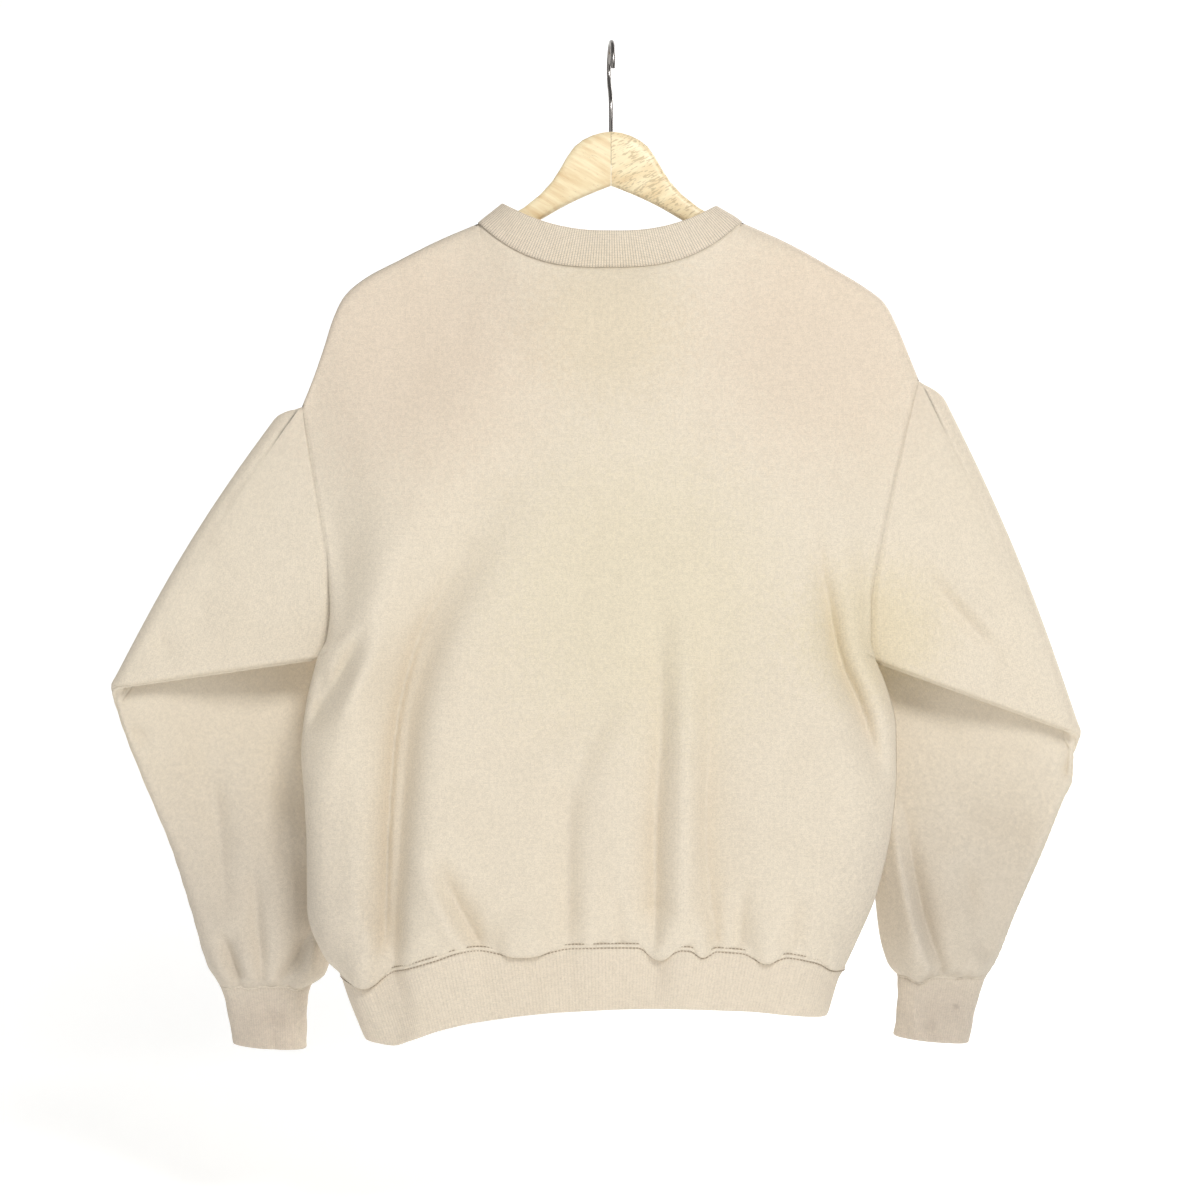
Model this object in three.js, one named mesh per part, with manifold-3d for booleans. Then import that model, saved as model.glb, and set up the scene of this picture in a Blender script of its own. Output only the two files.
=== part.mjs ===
// Crewneck sweatshirt of brushed fleece, hanging on a wooden coat hanger with a wire hook.
// Each sleeve is folded towards the garment's front along a slanting line, and hangs down from it.
//
// Millimetres, +Z up. The garment's back faces -Y and its front +Y, so -X is the wearer's left.
// The origin is the point inside the top of the hook that a rail carries.
import * as THREE from 'three';
import { mergeVertices } from 'three/addons/utils/BufferGeometryUtils.js';
import Module from 'manifold-3d';

const wasm = await Module();
wasm.setup();

// Driving dimensions of the cloth
const FLEECE = 2.4; // wall of the body and sleeves
const RIB = 3.4; // doubled rib knit of the collar, cuffs and waistband
const TRIM = 0.2; // a piece stops this far short of its seam line, so pieces lie about 0.4 apart
const COLLAR_TRIM = 0.4;
const COLLAR_CORNER_TRIM = 0.9; // more beside the hanger's arms, where the seam turns sharply
const COLLAR_CORNER_SHARE = 0.08;
const CORNER_TRIM = 0.6; // more at the underarm, where four pieces meet
const CORNER_SHARE = 0.02; // share of the armhole that this reaches
const COLLAR_RIBS = 252; // wales round the collar
const RIB_HEIGHT = 0.45;
const BAND_FOLD_SHARE = 0.5; // how much of a body fold carries on into the waistband seam
const HEM_FOLD_SHARE = 0.28;

// The left and right sides of the body, from the waistband seam up to the underarm
const SIDE_SEAM = {
  left: [
    { x: -228, z: -789 }, { x: -243, z: -774 }, { x: -257, z: -733 }, { x: -257, z: -685 },
    { x: -259, z: -640 }, { x: -262, z: -600 }, { x: -259, z: -565 }, { x: -249, z: -521 },
  ],
  right: [
    { x: 197, z: -784 }, { x: 206, z: -765 }, { x: 225, z: -718 }, { x: 238, z: -655 },
    { x: 241, z: -615 }, { x: 241, z: -580 }, { x: 235, z: -552 }, { x: 224, z: -523 },
  ],
};

// The back half of each armhole, from the underarm up to the shoulder seam
const ARMHOLE = {
  left: [
    { x: -249, z: -521 }, { x: -241, z: -506 }, { x: -238, z: -480 }, { x: -240, z: -440 },
    { x: -247, z: -395 }, { x: -255, z: -350 }, { x: -262, z: -309 },
  ],
  right: [
    { x: 224, z: -523 }, { x: 220, z: -505 }, { x: 220, z: -475 }, { x: 227, z: -430 },
    { x: 236, z: -385 }, { x: 248, z: -335 }, { x: 261, z: -287 },
  ],
};
const FRONT_SCOOP = 11; // the front half of the armhole is cut this much deeper
const ARMHOLE_OPEN = 11; // half the armhole's gape between front and back, past its rounded ends
const ARMHOLE_END = 4; // radius of the rounded ends, at the shoulder and the underarm

// The shoulder seams, from the armhole to the collar
const SHOULDER = {
  left: [
    { x: -262, z: -309 }, { x: -252, z: -284 }, { x: -243, z: -258 }, { x: -235, z: -233 },
    { x: -226, z: -215 }, { x: -209, z: -200 }, { x: -179, z: -184 }, { x: -145, z: -167 },
    { x: -112, z: -153 },
  ],
  right: [
    { x: 261, z: -287 }, { x: 251, z: -262 }, { x: 241, z: -238 }, { x: 231, z: -220 },
    { x: 216, z: -208 }, { x: 186, z: -190 }, { x: 152, z: -171 }, { x: 110, z: -152 },
  ],
};
const RIDGE = 7.7; // radius of the cloth over the hanger's arm
const RIDGE_END = 258; // past the hanger's tip the ridge narrows to the armhole's end, here
const NECK_ARCH = [{ x: -60, z: -136 }, { x: 0, z: -129 }, { x: 60, z: -136 }];

// The neck seam and the collar's free edge
const NECK = { backDrop: 40, backPower: 2.8, frontDrop: 96, backDepth: 27, frontDepth: 31 };
const NECK_ROUND = 0.62; // how bluntly the neck opens over the hanger's arms
const FRONT_NECK_ROUND = 1.25; // how slowly its front falls away from them
const COLLAR_TOP = {
  left: { x: -91, z: -136 }, right: { x: 89, z: -138 },
  backDrop: 24, backPower: 2.4, frontDrop: 82, backDepth: 24, frontDepth: 27,
};

// Half the body's depth at its middle, down its height
const BODY_DEPTH = [
  { z: -850, back: 44, front: 42 }, { z: -800, back: 48, front: 46 }, { z: -760, back: 56, front: 54 },
  { z: -700, back: 61, front: 57 }, { z: -620, back: 57, front: 53 }, { z: -521, back: 48, front: 47 },
  { z: -400, back: 39, front: 41 }, { z: -300, back: 33, front: 37 }, { z: -190, back: 30, front: 34 },
];
const DEPTH_RUN = { middle: 110, side: 260 }; // full depth is reached this far below the shoulder line
const NECK_RUN = 110; // the neck's own depth fades out over this height
const SIDE_ROUND = { back: 62, front: 115 }; // how far in from the side seam the depth builds up
const ARM_ROUND = 75; // the same at the armholes
const ARM_BLEND = 0.6; // share of the armhole over which one turns into the other
const FOLD_CLEAR = { side: 14, top: 60 }; // folds die out this near an edge
const SET_BACK_REACH = 150;
const EDGE_REACH = 22; // the underarm's own roundness dies out this far from the seam
const SIDE_SET_BACK = 8; // the side seams lie this far towards the back at mid height

// Folds of the hanging cloth. lift is how far the fold's line stands out of the panel, negative for
// a trough, and left and right are its reach to each side.
const BACK_FOLDS = [
  [ // the long trough that curves down to the wearer's left hip
    { z: -330, x: -60, lift: 0, left: 44, right: 34 }, { z: -409, x: -109, lift: -6, left: 38, right: 26 },
    { z: -513, x: -158, lift: -19, left: 36, right: 17 },
    { z: -582, x: -173, lift: -25, left: 34, right: 14 },
    { z: -666, x: -178, lift: -29, left: 32, right: 12 },
    { z: -779, x: -183, lift: -27, left: 30, right: 10 },
    { z: -850, x: -180, lift: -26, left: 30, right: 14 },
  ],
  [ // the crest on its outer side
    { z: -350, x: -135, lift: 0, left: 20, right: 20 }, { z: -464, x: -193, lift: 7, left: 20, right: 20 },
    { z: -530, x: -206, lift: 8, left: 18, right: 20 }, { z: -620, x: -218, lift: 0, left: 18, right: 20 },
  ],
  [ // the crest on its inner side
    { z: -430, x: -80, lift: 0, left: 30, right: 40 }, { z: -560, x: -138, lift: 7, left: 20, right: 44 },
    { z: -700, x: -146, lift: 8, left: 18, right: 40 }, { z: -790, x: -150, lift: 5, left: 18, right: 30 },
  ],
  [ // the drag line from the left underarm
    { z: -480, x: -197, lift: 0, left: 12, right: 10 }, { z: -530, x: -220, lift: -7, left: 12, right: 10 },
    { z: -566, x: -245, lift: -7, left: 10, right: 12 }, { z: -585, x: -256, lift: 0, left: 10, right: 12 },
  ],
  [ // hollow beside the left hip
    { z: -555, x: -205, lift: 0, left: 14, right: 14 }, { z: -656, x: -226, lift: -7, left: 14, right: 16 },
    { z: -701, x: -227, lift: -7, left: 14, right: 16 }, { z: -745, x: -225, lift: 0, left: 14, right: 16 },
  ],
  [ // short trough left of the middle
    { z: -545, x: 14, lift: 0, left: 34, right: 20 }, { z: -600, x: -22, lift: -5, left: 34, right: 16 },
    { z: -660, x: -36, lift: -8, left: 30, right: 12 }, { z: -790, x: -37, lift: -9, left: 26, right: 12 },
  ],
  [ // first trough right of the middle
    { z: -440, x: 40, lift: 0, left: 20, right: 14 }, { z: -567, x: 42, lift: -6, left: 20, right: 13 },
    { z: -700, x: 36, lift: -10, left: 18, right: 12 }, { z: -790, x: 36, lift: -10, left: 16, right: 12 },
  ],
  [ // the round fold between the two troughs
    { z: -450, x: 60, lift: 0, left: 14, right: 14 }, { z: -567, x: 61, lift: 7, left: 13, right: 13 },
    { z: -740, x: 59, lift: 10, left: 13, right: 13 }, { z: -800, x: 59, lift: 4, left: 13, right: 13 },
  ],
  [ // second trough right of the middle
    { z: -440, x: 80, lift: 0, left: 14, right: 24 }, { z: -567, x: 81, lift: -6, left: 13, right: 26 },
    { z: -700, x: 80, lift: -8, left: 12, right: 24 }, { z: -790, x: 88, lift: -7, left: 12, right: 20 },
  ],
  [ // the trough that runs to the wearer's right side
    { z: -335, x: 146, lift: 0, left: 26, right: 22 }, { z: -419, x: 173, lift: -6, left: 22, right: 15 },
    { z: -518, x: 192, lift: -15, left: 20, right: 11 }, { z: -567, x: 211, lift: -15, left: 20, right: 11 },
    { z: -640, x: 228, lift: 0, left: 16, right: 11 },
  ],
  [ // hollow above the waistband, left
    { z: -670, x: -150, lift: 0, left: 14, right: 20 }, { z: -723, x: -128, lift: -6, left: 13, right: 20 },
    { z: -770, x: -108, lift: -8, left: 12, right: 20 }, { z: -800, x: -104, lift: 0, left: 12, right: 20 },
  ],
];
const FRONT_FOLDS = [
  [
    { z: -320, x: -96, lift: 0, left: 34, right: 30 }, { z: -450, x: -146, lift: -8, left: 30, right: 24 },
    { z: -600, x: -132, lift: -15, left: 26, right: 20 },
    { z: -790, x: -112, lift: -17, left: 22, right: 18 },
    { z: -850, x: -108, lift: -14, left: 22, right: 18 },
  ],
  [
    { z: -440, x: -60, lift: 0, left: 24, right: 24 }, { z: -600, x: -78, lift: 8, left: 20, right: 24 },
    { z: -800, x: -66, lift: 6, left: 20, right: 22 },
  ],
  [
    { z: -430, x: 8, lift: 0, left: 22, right: 22 }, { z: -580, x: -2, lift: -8, left: 20, right: 16 },
    { z: -790, x: -12, lift: -12, left: 18, right: 14 }, { z: -850, x: -12, lift: -9, left: 18, right: 14 },
  ],
  [
    { z: -460, x: 60, lift: 0, left: 26, right: 26 }, { z: -640, x: 48, lift: 8, left: 24, right: 22 },
    { z: -800, x: 42, lift: 4, left: 20, right: 20 },
  ],
  [
    { z: -350, x: 104, lift: 0, left: 30, right: 30 }, { z: -500, x: 132, lift: -10, left: 24, right: 24 },
    { z: -650, x: 112, lift: -15, left: 20, right: 20 }, { z: -790, x: 96, lift: -14, left: 18, right: 18 },
    { z: -850, x: 92, lift: -10, left: 18, right: 18 },
  ],
  [
    { z: -560, x: 176, lift: 0, left: 18, right: 18 }, { z: -680, x: 158, lift: 8, left: 18, right: 18 },
    { z: -800, x: 148, lift: 5, left: 16, right: 16 },
  ],
];

// The waistband seam before its pouches, and the hem below it
const BAND_SEAM = {
  back: [
    { x: -228, z: -789 }, { x: -205, z: -787 }, { x: -178, z: -780 }, { x: -150, z: -771 },
    { x: -118, z: -762 }, { x: -60, z: -761 }, { x: 0, z: -759 }, { x: 94, z: -763 },
    { x: 150, z: -768 }, { x: 176, z: -775 }, { x: 197, z: -784 },
  ],
  front: [
    { x: -228, z: -789 }, { x: -190, z: -780 }, { x: -120, z: -771 }, { x: 0, z: -766 },
    { x: 110, z: -768 }, { x: 165, z: -776 }, { x: 197, z: -784 },
  ],
};
const HEM = {
  back: [
    { x: -208, z: -844 }, { x: -184, z: -846 }, { x: -167, z: -840 }, { x: -145, z: -832 },
    { x: -110, z: -824 }, { x: -43, z: -816 }, { x: 33, z: -813 }, { x: 110, z: -815 },
    { x: 150, z: -819 }, { x: 182, z: -824 },
  ],
  front: [
    { x: -208, z: -844 }, { x: -160, z: -835 }, { x: -90, z: -820 }, { x: 0, z: -812 },
    { x: 90, z: -811 }, { x: 150, z: -816 }, { x: 182, z: -824 },
  ],
};
// Cloth pouches over the waistband between gathers: where, half width, dip of the seam, stand-out
const POUCHES = {
  back: [
    { x: -206, half: 25, drop: 9, lift: 9 }, { x: -73, half: 40, drop: 6, lift: 8 },
    { x: 40, half: 19, drop: 10, lift: 10 }, { x: 76, half: 12, drop: 6, lift: 5 },
    { x: 128, half: 19, drop: 7, lift: 7 }, { x: 184, half: 13, drop: 3, lift: 5 },
  ],
  front: [
    { x: -172, half: 30, drop: 7, lift: 8 }, { x: -72, half: 30, drop: 7, lift: 9 },
    { x: 24, half: 26, drop: 6, lift: 8 }, { x: 60, half: 14, drop: 5, lift: 5 },
    { x: 138, half: 26, drop: 7, lift: 8 },
  ],
};
const POUCH_HEIGHT = 0.085; // share of the panel's height that a pouch takes

// Sleeves. elbow is the corner where the fold line meets the underarm seam.
const SLEEVE = {
  left: { elbow: { x: -430, z: -547 }, taper: 10, lean: 38 },
  right: { elbow: { x: 404, z: -588 }, taper: 12.3, lean: 32 },
};
const FOLD_RADIUS = 8; // of the mid surface between the sleeve's two layers
const FOLD_BOW = 7; // the fold line bows out by this much halfway
const FOLD_START_TOP = 2; // the fold starts this far from the shoulder seam
const TRIANGLE_RINGS = 6;
const FOLD_RINGS = 5;
const LEAN_RUN = 110;
// Edges of the hanging part as seen from behind, from the fold down to the cuff. The outer edge holds
// the underarm seam.
const HANGING_EDGES = {
  left: {
    outer: [
      { x: -413, z: -591 }, { x: -396, z: -642 }, { x: -378, z: -693 }, { x: -362, z: -744 },
      { x: -349, z: -788 }, { x: -338, z: -806 },
    ],
    inner: [
      { x: -259, z: -420 }, { x: -250, z: -560 }, { x: -243, z: -700 }, { x: -243, z: -770 },
      { x: -249, z: -796 }, { x: -262, z: -806 },
    ],
  },
  right: {
    outer: [
      { x: 393, z: -625 }, { x: 386, z: -642 }, { x: 368, z: -693 }, { x: 348, z: -744 },
      { x: 332, z: -784 }, { x: 323, z: -798 },
    ],
    inner: [
      { x: 256, z: -420 }, { x: 232, z: -560 }, { x: 228, z: -690 }, { x: 233, z: -755 },
      { x: 241, z: -786 }, { x: 250, z: -797 },
    ],
  },
};
// Its rings: share of its length, radius of its edges, and how far the middle fills out
const HANGING_RINGS = [
  { at: 0.08, edge: 5, fill: 1 }, { at: 0.2, edge: 7, fill: 3 }, { at: 0.34, edge: 8, fill: 5 },
  { at: 0.5, edge: 9, fill: 7 }, { at: 0.66, edge: 10, fill: 9 }, { at: 0.8, edge: 12, fill: 11 },
  { at: 0.91, edge: 14, fill: 12 }, { at: 0.965, edge: 15, fill: 9 }, { at: 1, edge: 12, fill: 3 },
];
const GATHERS = 9; // gathered waves round the sleeve's end
const GATHER_HEIGHT = 1.8;
const GATHER_RUN = { from: 0.72, grow: 0.2, end: 0.02 }; // shares of the hanging part's length
const SLEEVE_FILL = 5; // how far the upper part's layers part in their middle
const FILL_CURVE = 0.7;
const STRAIGHTEN = 1.2; // how fast the sleeve's section leaves the armhole's shape
const FOLD_EDGE = 4.6; // radius of the sleeve's edges at the fold

// Cuffs: the middle, half width and half depth of each free edge
const CUFF = {
  left: { x: -296, z: -859, y: 52, half: 30, deep: 20, tilt: -2 },
  right: { x: 277, z: -852, y: 46, half: 31, deep: 20, tilt: -3 },
};

const CUFF_LEVELS = [
  { down: 0, narrow: 0 }, { down: 0.3, narrow: 0.045 }, { down: 0.65, narrow: 0.03 }, { down: 1, narrow: 0 },
];

// Where the grid lines of a panel run. Rows near an armhole's ends and columns near the sides are closer.
const ARMHOLE_ROWS = [0, 0.006, 0.022, 0.06, 0.14, 0.26, 0.4, 0.55, 0.7, 0.83, 0.93, 0.976, 0.994, 1];
const SIDE_ROWS = [0, 0.035, 0.08, 0.15, 0.25, 0.37, 0.5, 0.63, 0.76, 0.88];
const SHOULDER_COLUMNS = [0, 0.012, 0.045, 0.11, 0.2, 0.33, 0.48, 0.65, 0.83];
const NECK_COLUMNS = [0, 0.018, 0.05, 0.11, 0.2, 0.3, 0.4, 0.5, 0.6, 0.7, 0.8, 0.89, 0.95, 0.982, 1];
const EDGE_FADE = { low: 2.5, high: 2.2 }; // how fast the waist seam's and top edge's shapes fade inwards
const POUCH_CURVE = 0.8;
const ARMHOLE_LENGTH = 215;
const ARMHOLE_CURVE = 1.5;
const ARMHOLE_LEVEL = [ // rise of the sleeve's direction, from the underarm to the shoulder
  { t: 0, z: 0.9 }, { t: 0.12, z: 0.15 }, { t: 0.5, z: 0 }, { t: 0.9, z: -0.15 }, { t: 1, z: -0.8 },
];
const SEAM_STEP = { armhole: 0.002, neck: 0.01, shoulder: 0.01, side: 0.02 }; // parameter steps along seams
const BAND_WIDTH = 390; // of the waistband as it hangs
const BAND_ROUND = 0.8; // its side rounding as a share of the body's
const BAND_LEVELS = [0, 0.35, 0.7, 1];
const NECK_SAMPLES = 240;
const POINTS_PER_INSIDE = 7; // outer points of the collar to one point of its plain inside
const MERGE_REACH = 1e-4;
const UNDERARM_HEIGHT = 0.56; // share of a panel's height, as a parameter
const NECK_SHARE = 0.4; // share of a panel's width, as a parameter

// Hanger
const HANGER = {
  thick: 12, tip: 220, tipRound: 10, tipShare: 0.35, squareness: 0.62, sectionPoints: 16,
  boreDepth: 28, boreRadius: 2.2, play: 2.3, slopeFactor: 1.17, seatClear: 8,
  stations: [0.15, 8, 16, 24, 31, 37, 43, 50, 60, 74, 92, 112, 136, 160, 184, 204, 212, 216, 219, 220],
  seats: [0.985, 0.9, 0.8, 0.7, 0.64, 0.59, 0.55, 0.52, 0.49, 0.46, 0.43, 0.4],
};
const HANGER_TOP = [ // from the middle to where the arm meets the collar
  { x: 0, z: -74 }, { x: 9, z: -75 }, { x: 18, z: -78 }, { x: 27, z: -83 }, { x: 34, z: -90 },
  { x: 40, z: -100 }, { x: 47, z: -112 }, { x: 56, z: -123.5 }, { x: 68, z: -134 }, { x: 84, z: -145 },
];
const HANGER_UNDER = [
  { x: 0, z: -120 }, { x: 20, z: -128 }, { x: 42, z: -138.5 }, { x: 61, z: -149.5 }, { x: 84, z: -162 },
  { x: 120, z: -181 }, { x: 170, z: -208 }, { x: 205, z: -225 }, { x: 222, z: -233 },
];
const HOOK = {
  wire: 3.8, loop: 20, turn: 95, stemTop: -47, startAngle: -28, tipAngle: 196, angleStep: 16,
  seatGap: 0.3, steps: 34, sectionPoints: 5,
};
// The stem's upper points by distance out and height over its top, and the bend as shares of the loop
const HOOK_STEM = [{ out: 0, up: -26 }, { out: 0, up: -10 }, { out: 1.5, up: 0 }];
const HOOK_BEND = { out: 0.62, down: 0.86 };

const lerp = THREE.MathUtils.lerp;
const ease = (t) => THREE.MathUtils.smoothstep(t, 0, 1);
const vec = (x, y, z) => new THREE.Vector3(x, y, z);
const quarterRound = (t) => Math.sqrt(1 - (1 - Math.min(1, Math.max(0, t))) ** 2);
const SIGN = { left: -1, right: 1 };

/** A smooth function through rows of a table that doesn't overshoot them, from column `at` to column `of`. */
function smoothColumn(rows, at, of) {
  const sorted = [...rows].sort((p, q) => p[at] - q[at]);
  const xs = sorted.map((row) => row[at]);
  const ys = sorted.map((row) => row[of]);
  const last = xs.length - 1;
  const rise = xs.slice(1).map((x, i) => (ys[i + 1] - ys[i]) / (x - xs[i]));
  const slope = ys.map((_, i) => {
    if (i === 0) return rise[0];
    if (i === last) return rise[last - 1];
    const product = rise[i - 1] * rise[i];
    return product <= 0 ? 0 : (2 * product) / (rise[i - 1] + rise[i]);
  });
  return (x) => {
    if (x <= xs[0]) return ys[0];
    if (x >= xs[last]) return ys[last];
    let i = 0;
    while (x > xs[i + 1]) i += 1;
    const width = xs[i + 1] - xs[i];
    const t = (x - xs[i]) / width;
    const rising = ease(t);
    const leaving = t * (1 - t) ** 2 * width * slope[i];
    const arriving = t ** 2 * (t - 1) * width * slope[i + 1];
    return lerp(ys[i], ys[i + 1], rising) + leaving + arriving;
  };
}

/** A smooth path through {x, z} rows, from t = 0 at the first row to t = 1 at the last, by chord length. */
function smoothPath(rows) {
  const along = [0];
  for (let i = 1; i < rows.length; i += 1) {
    along.push(along[i - 1] + Math.hypot(rows[i].x - rows[i - 1].x, rows[i].z - rows[i - 1].z));
  }
  const table = rows.map((row, i) => ({ t: along[i] / along.at(-1), x: row.x, z: row.z }));
  const x = smoothColumn(table, 't', 'x');
  const z = smoothColumn(table, 't', 'z');
  return (t) => ({ x: x(t), z: z(t) });
}

const sidePath = { left: smoothPath(SIDE_SEAM.left), right: smoothPath(SIDE_SEAM.right) };
const armholePath = { left: smoothPath(ARMHOLE.left), right: smoothPath(ARMHOLE.right) };
const shoulderPath = { left: smoothPath(SHOULDER.left), right: smoothPath(SHOULDER.right) };
const bandPath = { back: smoothPath(BAND_SEAM.back), front: smoothPath(BAND_SEAM.front) };
const hemPath = { back: smoothPath(HEM.back), front: smoothPath(HEM.front) };
const depthAt = {
  back: smoothColumn(BODY_DEPTH, 'z', 'back'),
  front: smoothColumn(BODY_DEPTH, 'z', 'front'),
};

function foldFunctions(folds) {
  return folds.map((rows) => ({
    low: Math.min(...rows.map((row) => row.z)),
    high: Math.max(...rows.map((row) => row.z)),
    x: smoothColumn(rows, 'z', 'x'),
    lift: smoothColumn(rows, 'z', 'lift'),
    left: smoothColumn(rows, 'z', 'left'),
    right: smoothColumn(rows, 'z', 'right'),
  }));
}
const folds = { back: foldFunctions(BACK_FOLDS), front: foldFunctions(FRONT_FOLDS) };

/** How far all folds of a face lift the cloth at (x, z). */
function foldLift(face, x, z) {
  let lift = 0;
  for (const fold of folds[face]) {
    if (z >= fold.high || z <= fold.low) continue;
    const away = x - fold.x(z);
    const reach = away < 0 ? fold.left(z) : fold.right(z);
    lift += fold.lift(z) * Math.exp(-((away / reach) ** 2));
  }
  return lift;
}

/** How far the pouches over the waistband reach at x: the column is 'drop' or 'lift'. */
function pouch(face, x, column) {
  let sum = 0;
  for (const row of POUCHES[face]) {
    const t = Math.abs(x - row.x) / row.half;
    if (t < 1) sum += row[column] * 0.5 * (1 + Math.cos(Math.PI * t));
  }
  return sum;
}

/** Columns of a panel: share is the parameter across, part and t say which edge they meet at the top. */
function panelColumns() {
  const shoulderShare = (1 - NECK_SHARE) / 2;
  const left = SHOULDER_COLUMNS.map((t) => ({ share: shoulderShare * t, part: 'left', t }));
  const neck = NECK_COLUMNS.map((t) => ({ share: shoulderShare + NECK_SHARE * t, part: 'neck', t }));
  const right = SHOULDER_COLUMNS.map((t) => ({ share: 1 - shoulderShare * t, part: 'right', t })).reverse();
  return [...left, ...neck, ...right];
}
const COLUMNS = panelColumns();
const ROWS = [
  ...SIDE_ROWS.map((t) => ({ height: t * UNDERARM_HEIGHT, t, part: 'side' })),
  ...ARMHOLE_ROWS.map((t) => ({ height: lerp(UNDERARM_HEIGHT, 1, t), t, part: 'armhole' })),
];

/** The neck seam in plan and height: t runs from the left shoulder to the right one. */
function neckEdge(face, t, size = NECK, ends = { left: SHOULDER.left.at(-1), right: SHOULDER.right.at(-1) }) {
  const angle = Math.PI * t;
  const across = (1 - Math.cos(angle)) / 2;
  const x = lerp(ends.left.x, ends.right.x, across);
  const start = lerp(ends.left.z, ends.right.z, across);
  if (face === 'back') {
    const drop = size.backDrop * (1 - Math.abs(2 * across - 1) ** size.backPower);
    return vec(x, -size.backDepth * Math.sin(angle) ** NECK_ROUND, start - drop);
  }
  const sine = Math.sin(angle);
  return vec(x, size.frontDepth * sine ** NECK_ROUND, start - size.frontDrop * sine ** FRONT_NECK_ROUND);
}

/** The armhole's gape on either side of the shoulder-to-underarm line. */
function armholeDepth(t) {
  const end = Math.min(t, 1 - t) * ARMHOLE_LENGTH / ARMHOLE_END;
  return ARMHOLE_END * quarterRound(end) + ARMHOLE_OPEN * Math.sin(Math.PI * t) ** ARMHOLE_CURVE;
}

/** A point of the armhole seam: t runs from the underarm to the shoulder. */
function armholePoint(side, face, t) {
  const at = armholePath[side](t);
  const scoop = face === 'front' ? FRONT_SCOOP * Math.sin(Math.PI * t) ** ARMHOLE_CURVE : 0;
  const depth = armholeDepth(t) * (face === 'back' ? -1 : 1);
  return vec(at.x - SIGN[side] * scoop, depth, at.z);
}

const armholeLevel = smoothColumn(ARMHOLE_LEVEL, 't', 'z');

/** Direction from the body into the sleeve, in the plane of the hanging cloth. */
function armholeOutward(side, t) {
  return vec(SIGN[side], 0, armholeLevel(t)).normalize();
}

/** Outward normal of the cloth along the armhole seam, shared by the panels and the sleeve. */
function armholeNormal(side, face, t) {
  const step = SEAM_STEP.armhole;
  const other = face === 'back' ? 'front' : 'back';
  const point = (at) => {
    if (at < 0) return armholePoint(side, other, -at);
    if (at > 1) return armholePoint(side, other, 2 - at);
    return armholePoint(side, face, at);
  };
  const along = point(t + step).sub(point(t - step));
  const normal = along.cross(armholeOutward(side, t)).normalize();
  const facing = face === 'back' ? -SIGN[side] : SIGN[side];
  return normal.multiplyScalar(-facing);
}

/** Outline point of a panel at a column and row, in the plane of the hanging cloth. */
function panelOutline(face, column, row) {
  const edge = (side) => {
    if (row.part === 'side') return sidePath[side](row.t);
    const p = armholePoint(side, face, row.t);
    return { x: p.x, z: p.z };
  };
  const top = (part, t) => {
    if (part === 'neck') return neckEdge(face, t);
    const p = shoulderPath[part](t);
    return vec(p.x, 0, p.z);
  };
  const left = edge('left');
  const right = edge('right');
  const corners = {
    bottomLeft: sidePath.left(0),
    bottomRight: sidePath.right(0),
    topLeft: top('left', 0),
    topRight: top('right', 0),
  };
  const c = column.share;
  const bottom = bandPath[face](c);
  const topPoint = top(column.part, column.t);
  const lowWeight = (1 - row.height) ** EDGE_FADE.low;
  const highWeight = row.height ** EDGE_FADE.high;
  const blend = (key) => lerp(left[key], right[key], c)
    + (bottom[key] - lerp(corners.bottomLeft[key], corners.bottomRight[key], c)) * lowWeight
    + (topPoint[key] - lerp(corners.topLeft[key], corners.topRight[key], c)) * highWeight;
  const x = blend('x');
  const nearBand = ease(1 - row.height / POUCH_HEIGHT);
  return { x, z: blend('z') - pouch(face, x, 'drop') * nearBand, topPoint, left, right };
}

/** Height of the shoulder line over x, carried on as an arch over the neck. */
const shoulderHeight = smoothColumn([...SHOULDER.left, ...NECK_ARCH, ...SHOULDER.right], 'x', 'z');

/** A point on the mid surface of the front or back panel. */
function panelPoint(face, column, row) {
  const { x, z, topPoint, left, right } = panelOutline(face, column, row);
  const below = Math.hypot(x - topPoint.x, z - topPoint.z);
  const inset = Math.min(Math.hypot(x - left.x, z - left.z), Math.hypot(x - right.x, z - right.z));
  const ridge = lerp(ARMHOLE_END, RIDGE, ease((RIDGE_END - Math.abs(x)) / (RIDGE_END - HANGER.tip)));
  const run = lerp(DEPTH_RUN.middle, DEPTH_RUN.side, ease(Math.abs(x) / RIDGE_END));
  const hanging = (height) => lerp(ridge, depthAt[face](height), ease((shoulderHeight(x) - height) / run));
  const step = Math.abs(topPoint.y) - hanging(topPoint.z);
  const depth = hanging(z) + step * (1 - (step < 0 ? quarterRound(below / ridge) : ease(below / NECK_RUN)));
  const atSide = quarterRound(inset / SIDE_ROUND[face]);
  const blend = row.part === 'armhole' ? ease(row.t / ARM_BLEND) : 0;
  const atArmhole = lerp(atSide, ease(inset / ARM_ROUND), blend);
  const edge = row.part === 'armhole' ? armholeDepth(row.t) : 0;
  const fromEdge = lerp(1 - ease(inset / EDGE_REACH), 1 - atArmhole, blend);
  const edged = depth * atArmhole + edge * fromEdge;
  const nearBand = lerp(BAND_FOLD_SHARE, 1, ease(row.height / POUCH_HEIGHT));
  const foldShare = ease(inset / FOLD_CLEAR.side) * ease(below / FOLD_CLEAR.top) * nearBand;
  const swell = Math.sin(Math.PI * Math.min(1, row.height / POUCH_HEIGHT)) ** POUCH_CURVE;
  const bulge = pouch(face, x, 'lift') * swell;
  const out = edged + foldLift(face, x, z) * foldShare + bulge * ease(inset / FOLD_CLEAR.side);
  const setBack = row.part === 'side' ? SIDE_SET_BACK * Math.sin(Math.PI * row.t) ** 2 : 0;
  const middle = -setBack * (1 - ease(inset / SET_BACK_REACH));
  return vec(x, middle + (face === 'back' ? -out : out), z);
}

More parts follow.
